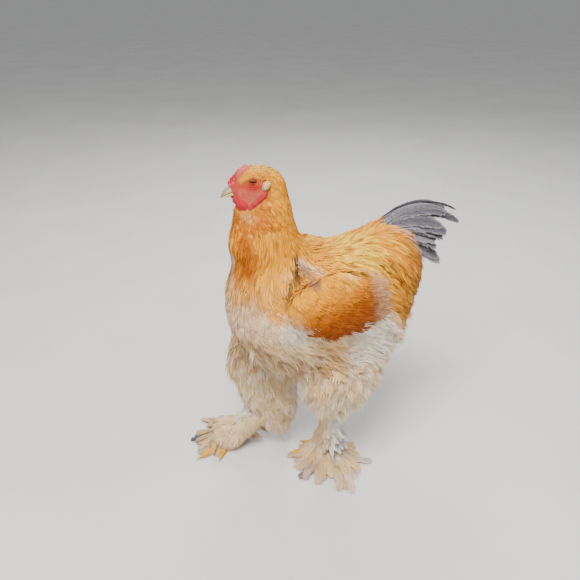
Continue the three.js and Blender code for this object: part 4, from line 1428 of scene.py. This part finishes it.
for name, side in SIDES.items():
    leg = LEGS[name]
    ground, axis = leg["ground"], (leg["pad"], leg["hock"])
    rng = np.random.default_rng(210 + side)
    coat(
        f"shank_fluff_{name}", 220 + side, SHANK_LOOK, "fluff",
        boot_field(leg), (ground - vec(40, 40, -14), leg["hock"] + vec(75, 75, 20)), 4.2,
        lambda p: (p[:, 2] > 16) & (p[:, 2] < leg["hock"][2] + 8),
        lambda p: columns(0 * p[:, 0], 0.0, -1.0), [f"shank_{name}"],
        lift=lambda p: leg["fluff"] + 6 * smooth(0.0, 0.9, shank_out(leg, p) @ vec(0.8 * side, 0.6, 0)),
        length=30, width=11, depth=2, rows=5, ribbons=5, cover=0.9, pointed=0.25, splay=0.7,
        ragged=0.4, sway=0.2, painted=marked_shank, axis=axis,
        colour=lambda p: shank_tone(side, shank_out(leg, p)),
    )
    rows = [boot_row(name, row, rng) for row in BOOT_ROWS]
    feather_piece(f"boot_feathers_{name}", rows, SHANK_LOOK, "fluff")
    layers = [fan_layer(name, layer, rng) for layer in FAN_LAYERS]
    feather_piece(f"foot_fan_{name}", layers, SHANK_LOOK, "fluff")

    ways = {key: foot_direction(side, toe["angle"]) for key, toe in TOES.items()}
    toes = [toe_field(leg, toe, ways[key]) for key, toe in TOES.items()]
    pad = ellipsoid(ground + vec(0, 0, 8), (11, 11, 8))
    foot = carve(1, blend(4, pad, *toes), lambda p: p[:, 2] - FLOOR_GAP)
    points, faces = skin_surface(foot, ground - vec(80, 80, 2), ground + vec(80, 80, 22), TOE_CELL)
    reach = np.linalg.norm(points[:, :2] - ground[:2], axis=1)
    # Darker toward the middle of the foot: painted shade under the feathered shank.
    tone = layered(TOE_YELLOW, (DARK_BUFF_AND_SHADE, 0.4 * smooth(20, 0, reach)))
    make_piece(f"toes_{name}", points, faces, TOE_SKIN, "toes", [f"foot_{name}"], tint=tone)
    for key, toe in TOES.items():
        make_claw(f"claw_{name}_{key}_horn", ground, toe, ways[key], [f"claw_{name}_{key}"])

# Head

BEAK_UPPER = [
    (-22, 2.6, 9.4, 9.4),
    (-30, 2.4, 9.2, 8.8),
    (-38, 1.6, 8.2, 7.6),
    (-46, -1.0, 6.2, 5.8),
    (-52, -4.6, 3.9, 4.0),
    (-56, -8.4, 2.0, 2.3),
    (-57.2, -11, 0.6, 0.7),
]
BEAK_LOWER = [
    (-22, -5.2, 8.6, 4.8),
    (-37, -5.2, 7.4, 4.2),
    (-46, -6.6, 5.2, 3.0),
    (-52, -9.0, 2.6, 1.7),
    (-54.5, -10.4, 0.6, 0.5),
]
NOSTRIL = vec(6.6, -40.5, 3.4)
NOSTRIL_PIT = vec(5.6, -40.5, 3.4)
BEAK = skin_material("beak_horn")
FACE = skin_material("face_skin")
FACE_CELL, EYE_CELL = 0.85, 0.6


def near_spot(q, spot, size):
    """1 at a spot, fading to 0 over the given size."""
    return np.exp(-(((q - spot) / size) ** 2).sum(axis=1))


def make_beak(name, stations, section, tone, node):
    """Half of the beak. Its stations hold y, z, half width and half height; a nostril dents it."""
    rows = smooth_curve(stations, 8)
    centres = columns(0.0, rows[:, 0], rows[:, 1])
    points, faces = loft(centres, rows[:, 2:4], section, 40)
    if node == "beak_upper":
        for side in (-1, 1):
            points[:, 0] -= side * 2.0 * near_spot(points, NOSTRIL * vec(side, 1, 1), vec(2.2, 2.6, 1.2))
    make_piece(name, from_head(points), faces, BEAK, "beak", [node], tint=tone(points))


def upper_section(x, z):
    return np.sign(x) * np.abs(x) ** 0.9, np.where(z > 0, np.abs(z) ** 0.95, -0.55 * np.abs(z) ** 0.6)


def lower_section(x, z):
    return x, np.where(z > 0, 0.85 * np.abs(z) ** 0.6, z)


def upper_tone(q):
    rows = np.array(BEAK_UPPER)[::-1]
    ridge = np.interp(q[:, 1], rows[:, 0], rows[:, 1] + rows[:, 3]) - q[:, 2]
    ridge = smooth(4.5, 1.2, ridge) * smooth(-30, -40, q[:, 1])
    # The nostril dents are painted dark: painted shade in the nostril openings.
    nostril_shade = sum(near_spot(q, NOSTRIL_PIT * vec(side, 1, 1), vec(2.4, 2.2, 1.0)) for side in (-1, 1))
    # Darker along the lower edge of the upper beak near the gape: painted shade along the mouth line.
    edge = smooth(-1.0, -3.0, q[:, 2]) * smooth(-42, -34, q[:, 1])
    return layered(HORN, (SLATE * 0.75, 0.7 * ridge), (DARK_BUFF_AND_SHADE, 0.35 * edge), (DARK_SLATE, 0.9 * nostril_shade))


def lower_tone(q):
    # Darker towards the rear of the lower beak: painted shade under the upper beak.
    return layered(HORN, (DARK_BUFF_AND_SHADE, 0.3 * smooth(-40, -25, q[:, 1])))


make_beak("beak_upper_horn", BEAK_UPPER, upper_section, upper_tone, "beak_upper")
make_beak("beak_lower_horn", BEAK_LOWER, lower_section, lower_tone, "beak_lower")

# The bare skin of the face, with the comb, the lids, the lobes and the wattles

COMB_ROWS = [(-5.6, 2.4, 1.2), (0, 2.8, 4.0), (5.6, 2.4, 1.2)]
COMB_KNOBS = 8
COMB_LIFT = 42
LID = 1.3
LID_RIM = 0.7
SLIT_HALF_LENGTH, SLIT_HALF_HEIGHT = 6.4, 1.6
WRINKLE = 2.3
BARE_BROW = [(-50, 60), (-38, 26), (-34, 13), (-30, 10), (-25, 14), (-20, 19), (-14, 20.5), (-4, 18.5)]
BARE_BROW += [(7, 13), (12, 0)]
BARE_LOBE = [(-29, -60), (-26, -40), (-24, -26), (-21, -19), (-15.5, -13), (-9, -5.5), (-4, 1), (2, 6)]
BARE_LOBE += [(13, 8)]
LOBE_LINE = [(5, 1, 1.5), (1, -5, 1.9), (-6, -10, 2.1), (-14, -16, 1.9), (-20, -21, 1.3)]
BROW_LINE = [(13, -29, 15, 2.2), (18, -15, 21.5, 3.2), (20, -2, 19, 2.4)]


def on_cheek(side, y, z):
    """The place on the side of the head's skin, in its own coordinates."""
    near, far = 0.0, 60.0
    skin_at = in_head(neck_and_head)
    for _ in range(24):
        middle = (near + far) / 2
        if skin_at(vec(side * middle, y, z)[None])[0] < 0:
            near = middle
        else:
            far = middle
    return vec(side * near, y, z)


def comb_field():
    """A low cushion with three rows of knobs, the middle row highest."""
    rng = np.random.default_rng(301)
    knobs = [ellipsoid((0, -33, 17.8), (6.6, 17.0, 3.6), rotation("x", COMB_LIFT))]
    for x, size, height in COMB_ROWS:
        for t in np.linspace(0, 1, COMB_KNOBS):
            swell = 0.8 + 0.3 * math.sin(math.pi * t)
            place = vec(x, mix(-45, -21.5, t), mix(7.5, 30.5, t) + height * swell)
            place = place + rng.uniform(-0.6, 0.6, 3)
            radius = size * swell * rng.uniform(0.85, 1.1)
            knobs.append(ellipsoid(place, (radius, radius * 0.8, radius * 1.2)))
    return blend(0.5, *knobs)


def wattle_field(side):
    form = blend(
        4,
        ellipsoid(vec(side * 11, -36, -12.5), (4.6, 7.2, 6.5)),
        ellipsoid(vec(side * 17, -30, -18.8), (4.6, 10.5, 8.6), rotation("z", -45 * side)),
    )

    def creased(q):
        fold = np.sin(0.9 * q[:, 1] + 0.35 * q[:, 2])
        return form(q) + 0.45 * fold * smooth(-8, -20, q[:, 2])

    return creased


comb = comb_field()
wattles = [wattle_field(side) for side in (-1, 1)]
lobes = [rod_field([(on_cheek(side, y, z), radius) for y, z, radius in LOBE_LINE]) for side in (-1, 1)]
EYES = {side: vec(side * EYE_PLACE[0], EYE_PLACE[1] - 0.5, EYE_PLACE[2] + 3.5) for side in (-1, 1)}


def from_eye(q):
    """Distance from the middle of the eye, seen from the side."""
    return np.hypot(q[:, 1] - EYES[1][1], q[:, 2] - EYES[1][2])


def ringed(away):
    """Where the skin round the eye is wrinkled, at distances from its middle."""
    return smooth(6.5, 8, away) * smooth(16, 10, away)


def with_eye(field, side, wattle, lobe):
    """Adds brow, wattle, lobe, gape, wrinkles and lids of one side to the face, with the eye's room."""
    eye = EYES[side]
    brow = rod_field([(vec(side * x, y, z), radius) for x, y, z, radius in BROW_LINE])
    gape = rod_field([(vec(side * 8.5, -36, -4.6), 0.9), (vec(side * 14, -22, -6), 0.9)])
    plain = blend(1.2, blend(2.0, blend(3.5, field, brow), wattle), lobe)
    plain = carve(1.2, plain, gape)
    lid_ball = ellipsoid(eye, np.full(3, EYE_RADIUS + LID))

    def wrinkled(q):
        away = from_eye(q)
        low = smooth(3, -3, q[:, 2] - eye[2] - 0.6 * (q[:, 1] - eye[1]))
        where = ringed(away) * (q[:, 0] * side > 4)
        return plain(q) + 0.6 * np.sin(WRINKLE * away) * where * mix(0.3, 1, low)

    def opening(q):
        """The almond gap between the lids, longer than it is high."""
        along, up = q[:, 1] - eye[1], q[:, 2] - eye[2]
        half = SLIT_HALF_HEIGHT * (1 - (along / SLIT_HALF_LENGTH) ** 2)
        gap = (np.abs(up + 0.1 * along + 0.1) - half) / 1.25
        return np.maximum(gap, 2 - (q[:, 0] - eye[0]) * side)

    def rim(q):
        return np.hypot(opening(q), lid_ball(q)) - LID_RIM

    lidded = blend(0.9, blend(2.2, wrinkled, lid_ball), rim)
    return carve(0.2, carve(0.4, lidded, opening), ellipsoid(eye, np.full(3, EYE_RADIUS + 0.1)))


def bare_face(q):
    """How far a place lies inside the bare part of the face, in its own coordinates."""
    brow_line = np.interp(q[:, 1], *np.array(BARE_BROW).T)
    lobe_line = np.interp(q[:, 2], *np.array(BARE_LOBE).T)
    return np.minimum(brow_line - q[:, 2], lobe_line - q[:, 1])


def face_tone(q):
    x, y, z = q.T
    away = from_eye(q)
    lobe = nearest(lobes, q)
    crest = ellipsoid((0, -33, 17.8), (7.6, 17.0, 6.0), rotation("x", 40))(q)
    knob_highlight = (0.5 * smooth(-0.6, 2.6, crest))[:, None]
    # Dark brown over the upper lid: painted shade under the brow.
    lid_shade = smooth(7.4, 5.4, away) * smooth(14.5, 16.5, z)
    before_eye = np.exp(-((y - EYES[1][1] + 10) ** 2 / 24 + (z - EYES[1][2]) ** 2 / 8))
    # Darker crimson in the grooves of the wrinkles round the eye: painted shade.
    groove_shade = ringed(away) * smooth(20, 14, z) * smooth(-0.2, 0.9, np.sin(WRINKLE * away))
    return layered(
        FACE_RED,
        (BROW_ORANGE, 0.6 * smooth(8, 16, z) * smooth(-36, -30, y)),
        (PINK, 0.25 * smooth(10, 16, away) * smooth(10, 0, z)),
        (PINK_BROWN, 0.7 * smooth(2, -8, z) * smooth(-30, -18, y)),
        (EYE_SHADE, 0.45 * before_eye),
        (CRIMSON * 0.8, 0.6 * groove_shade),
        # Dark gold where feathers cover the skin: painted shade under the feathers.
        (GOLD * 0.7, smooth(1.0, -2.5, bare_face(q))),
        # Dark red along the lower side of the lobe: painted shadow under it.
        (CRIMSON * 0.45, 0.6 * smooth(2.6, 1.2, lobe) * smooth(0, -4, z)),
        (CRIMSON, 0.9 * smooth(1.2, 0.2, lobe)),
        (COMB_RED, 0.85 * smooth(5, 2.5, comb(q)) * smooth(12, 22, z)),
        # Pink on the tops of the knobs and crimson between them: painted highlight and painted shade on
        # the comb.
        (mix(CRIMSON * 0.9, COMB_HIGHLIGHT_PINK, knob_highlight), 0.95 * smooth(1.5, 0.3, comb(q))),
        (CRIMSON, 0.95 * smooth(1.5, 0.3, nearest(wattles, q))),
        (LID_SHADE_BROWN, 0.75 * lid_shade),
        (LID_RED, 0.5 * smooth(6.0, 4.4, away) * (1 - lid_shade)),
    )


face = in_head(neck_and_head)
for side, wattle, lobe in zip((-1, 1), wattles, lobes):
    face = with_eye(face, side, wattle, lobe)
face = blend(2.0, face, comb)

CROWN_NORMAL = vec(0, 0.79, 0.61)
CROWN_AT = vec(0, -6, 27)


def clipped_face(q):
    """The face, which sinks under the feathers of the crown before it ends."""
    back = (q - CROWN_AT) @ CROWN_NORMAL
    return np.maximum(face(q) + 1.8 * smooth(-9, 1, back), back - 7)


points, faces = skin_surface(clipped_face, (-33, -51, -37), (33, 34, 44), FACE_CELL)
bare_nodes = ["face", "comb", "wattle_left", "wattle_right", "ear_lobe_left", "ear_lobe_right"]
make_piece(
    "face_and_comb", from_head(points), faces, FACE, "skin", bare_nodes, tint=face_tone(points)
)

# Eyes

IRIS_TONES = {0: "030202", 0.44: "050303", 0.5: "5c2a10", 0.72: "8a4416", 0.82: "36180c", 0.95: "1c0d0a"}
IRIS_REACH = 5.4
CORNEA_RADIUS = 3.9


def eye_material():
    """A wet eye: a black pupil in an orange-brown iris, dark round its rim."""
    shader = Shader("eye_globe")
    place = shader.node("ShaderNodeUVMap", uv_map="Iris").outputs["UV"]
    radius = shader.node("ShaderNodeVectorMath", operation="LENGTH")
    shader.set(radius, 0, place)
    stops = [(share, colour(code)) for share, code in IRIS_TONES.items()]
    shader.surface_set(Base_Color=shader.ramp(radius.outputs["Value"], *stops), Roughness=0.08)
    shader.surface_set(Specular_IOR_Level=0.3)
    return shader.material


EYE = eye_material()
for name, side in SIDES.items():
    eye = EYES[side]
    gaze = unit(vec(side, -0.2, 0.05))
    cornea = ellipsoid(eye + gaze * 2.1, np.full(3, CORNEA_RADIUS))
    globe = blend(1, ellipsoid(eye, np.full(3, EYE_RADIUS - 0.1)), cornea)
    points, faces = skin_surface(globe, eye - 7, eye + 7, EYE_CELL)
    up = unit(np.cross(gaze, vec(0, 1, 0)))
    offset = points - eye
    spread = columns(offset @ np.cross(up, gaze), offset @ up) / IRIS_REACH
    spread = np.where((offset @ gaze > 0)[:, None], spread, unit(spread + 1e-6))
    piece = f"eye_globe_{name}"
    make_piece(piece, from_head(points), faces, EYE, "eye", [f"eye_{name}"], uvs={"Iris": spread})

# The feathers of the head

HEAD_AXIS = (on_head(0, 0, -30), on_head(0, 0, 40))


def crown_colour(p):
    x, y, z = to_head(p).T
    return layered(
        GOLD,
        (PALE_GOLD, 0.6 * smooth(18, 30, z)),
        (CREAM, 0.2 * smooth(26, 34, z) * smooth(25, 5, y)),
        (CHEEK_ORANGE, 0.7 * smooth(22, 10, z - 0.4 * (y + 20)) * smooth(14, -8, y)),
        (CHIN_BEIGE, 0.4 * np.exp(-((y + 25) ** 2 / 40 + (z + 26) ** 2 / 8))),
        # Brown between the comb and the eye: painted shadow under the comb and brow.
        (BROW_SHADE_BROWN, 0.65 * np.exp(-((y + 29) ** 2 / 70 + (z - 16) ** 2 / 40))),
    )


def head_flow(p):
    x, y, z = to_head(p).T
    behind = smooth(-2, 26, y)
    down = -0.25 - 0.03 * np.abs(x) - 0.9 * behind
    ahead = columns(0.02 * x * smooth(24, 32, z), mix(1.0, 0.3, behind), down)
    throat = smooth(-18, -26, z) * smooth(-5, -20, y)
    return mix(ahead, vec(0, 0.35, -1), throat[:, None]) @ HEAD_TURN.T


def fineness(p):
    """0 at the comb and the eye, growing to 1 at the top of the neck."""
    q = to_head(p)
    return smooth(-24, 24, q[:, 1] - q[:, 2])


def on_crown(p):
    q = to_head(p)
    ear = np.hypot(q[:, 1] - 3, q[:, 2] - 8.5) > 4
    off_comb = comb(q) > 1.3 + 2.2 * smooth(14, 24, q[:, 2])
    feathered = (bare_face(q) < 0) & (ear | (np.abs(q[:, 0]) < 10)) & off_comb
    return feathered * smooth(-16, 4, rise_over(JAW_CUT, p))


def on_bare_face(p):
    q = to_head(p)
    clear = (comb(q) > 2) & (nearest(wattles, q) > 1) & (from_eye(q) > 8) & (q[:, 1] > -40)
    return clear * (nearest(lobes, q) > 1) * (bare_face(q) > -1) * 0.4


def rearward(fall):
    """A flow to the rear that falls by the given slope."""
    return lambda p: columns(0 * p[:, 0], 1.0, -fall)


coat(
    "face_bristles", 303, HACKLES, "hackle_feathers",
    lambda p: face(to_head(p)), (HEAD_CENTRE - vec(42, 60, 32), HEAD_CENTRE + vec(42, 40, 34)), 2.2,
    on_bare_face, rearward(0.5),
    length=3.6, width=0.55, depth=0.3, lift=0.6, rows=3, ribbons=2, pointed=0.2, splay=0.8, ragged=0.4,
    sway=0.3, root_shade=0.9, colour=mix(BRISTLE_RED, CREAM, 0.06), axis=HEAD_AXIS,
)
coat(
    "crown_feathers", 302, HACKLES, "hackle_feathers",
    neck_and_head, ((-50, -175, 480), (50, -55, 590)), 2.3, on_crown, head_flow, ["crown"],
    length=lambda p: mix(5, 26, fineness(p)),
    width=lambda p: mix(2.2, 6.5, fineness(p)),
    lift=lambda p: mix(0.7, 2.0, fineness(p)),
    depth=1.2, rows=5, ribbons=3, pointed=0.3, splay=0.15, camber=0.12, ragged=0.3, mottle=0.14,
    flecks=lambda p: [(DEEP_GOLD, 0.3 * fineness(p)), (PALE_GOLD, 0.3 * fineness(p))],
    colour=crown_colour, axis=HEAD_AXIS,
)
for name, side in SIDES.items():
    middle = from_head(on_cheek(side, 3, 8.5)[None])[0]
    upper = from_head(on_cheek(side, 5, 11.5)[None])[0]
    tuft = blend(
        3,
        ellipsoid(middle, (3.4, 6.0, 4.2), HEAD_TURN @ rotation("x", 40)),
        ellipsoid(upper, (3.4, 4.6, 3.2), HEAD_TURN @ rotation("x", 20)),
    )
    coat(
        f"ear_tuft_feathers_{name}", 310 + side, HACKLES, "ear_feathers",
        tuft, (middle - 12, middle + 12), 1.2, lambda p: (p - middle)[:, 0] * side > -1,
        rearward(0.55), [f"ear_tuft_{name}"],
        length=8, width=1.4, depth=0.5, lift=1.4, rows=5, ribbons=2, cover=1.2, pointed=0.3, splay=0.3,
        ragged=0.35, sway=0.1, mottle=0.1, root_shade=0.9, colour=mix(EAR_CREAM, PINK_BEIGE, 0.1),
        axis=HEAD_AXIS,
    )

# Camera, light and floor

CAMERA_PLACE = vec(724.2, -408.9, 800)
CAMERA_AHEAD = vec(-0.9063, 0.4226, 0)
CAMERA_TILT = math.radians(28.5)
FOCAL_PIXELS = 560
PICTURE_SIDE = 580
SENSOR = 36
LIGHT_AIM = (0, 0, 0.3)
FLOOR_REACH = 60.0


def put(made, place, ahead):
    """Places a camera or a lamp and turns it to look ahead."""
    made.location = place
    made.rotation_mode = "QUATERNION"
    made.rotation_quaternion = Vector(ahead).to_track_quat("-Z", "Y")
    bpy.context.scene.collection.objects.link(made)


camera_data = bpy.data.cameras.new("camera")
camera_data.sensor_width = SENSOR
camera_data.lens = SENSOR * FOCAL_PIXELS / PICTURE_SIDE
camera = bpy.data.objects.new("camera", camera_data)
look = CAMERA_AHEAD * math.cos(CAMERA_TILT) - vec(0, 0, math.sin(CAMERA_TILT))
put(camera, to_frame(CAMERA_PLACE), look)
bpy.context.scene.camera = camera


def area_light(name, place, size, power, tone):
    data = bpy.data.lights.new(name, "AREA")
    data.shape = "DISK"
    data.size = size
    data.energy = power
    data.color = tone
    put(bpy.data.objects.new(name, data), place, Vector(LIGHT_AIM) - Vector(place))


area_light("key", (0.9, -0.9, 2.6), 1.4, 132, (1.0, 0.98, 0.93))
area_light("fill", (1.4, 1.6, 1.6), 2.2, 18, (0.95, 0.97, 1.0))
area_light("rim", (-1.4, 0.8, 2.0), 1.4, 34, (1.0, 1.0, 1.0))

world = bpy.data.worlds.new("soft_sky")
world.use_nodes = True
world.node_tree.nodes["Background"].inputs["Color"].default_value = (0.95, 0.97, 1.0, 1)
world.node_tree.nodes["Background"].inputs["Strength"].default_value = 0.42
bpy.context.scene.world = world

floor_shader = Shader("pale_floor")
floor_tone = floor_shader.ramp(
    floor_shader.noise(3, 3), (0.3, (0.66, 0.65, 0.63)), (0.7, (0.72, 0.71, 0.69))
)
floor_shader.surface_set(Base_Color=floor_tone, Roughness=0.85)
floor_mesh = bpy.data.meshes.new("floor")
corners = [(x * FLOOR_REACH, y * FLOOR_REACH, 0) for x, y in ((-1, -1), (1, -1), (1, 1), (-1, 1))]
floor_mesh.from_pydata(corners, [], [(0, 1, 2, 3)])
floor_mesh.materials.append(floor_shader.material)
floor = bpy.data.objects.new("floor", floor_mesh)
bpy.context.scene.collection.objects.link(floor)
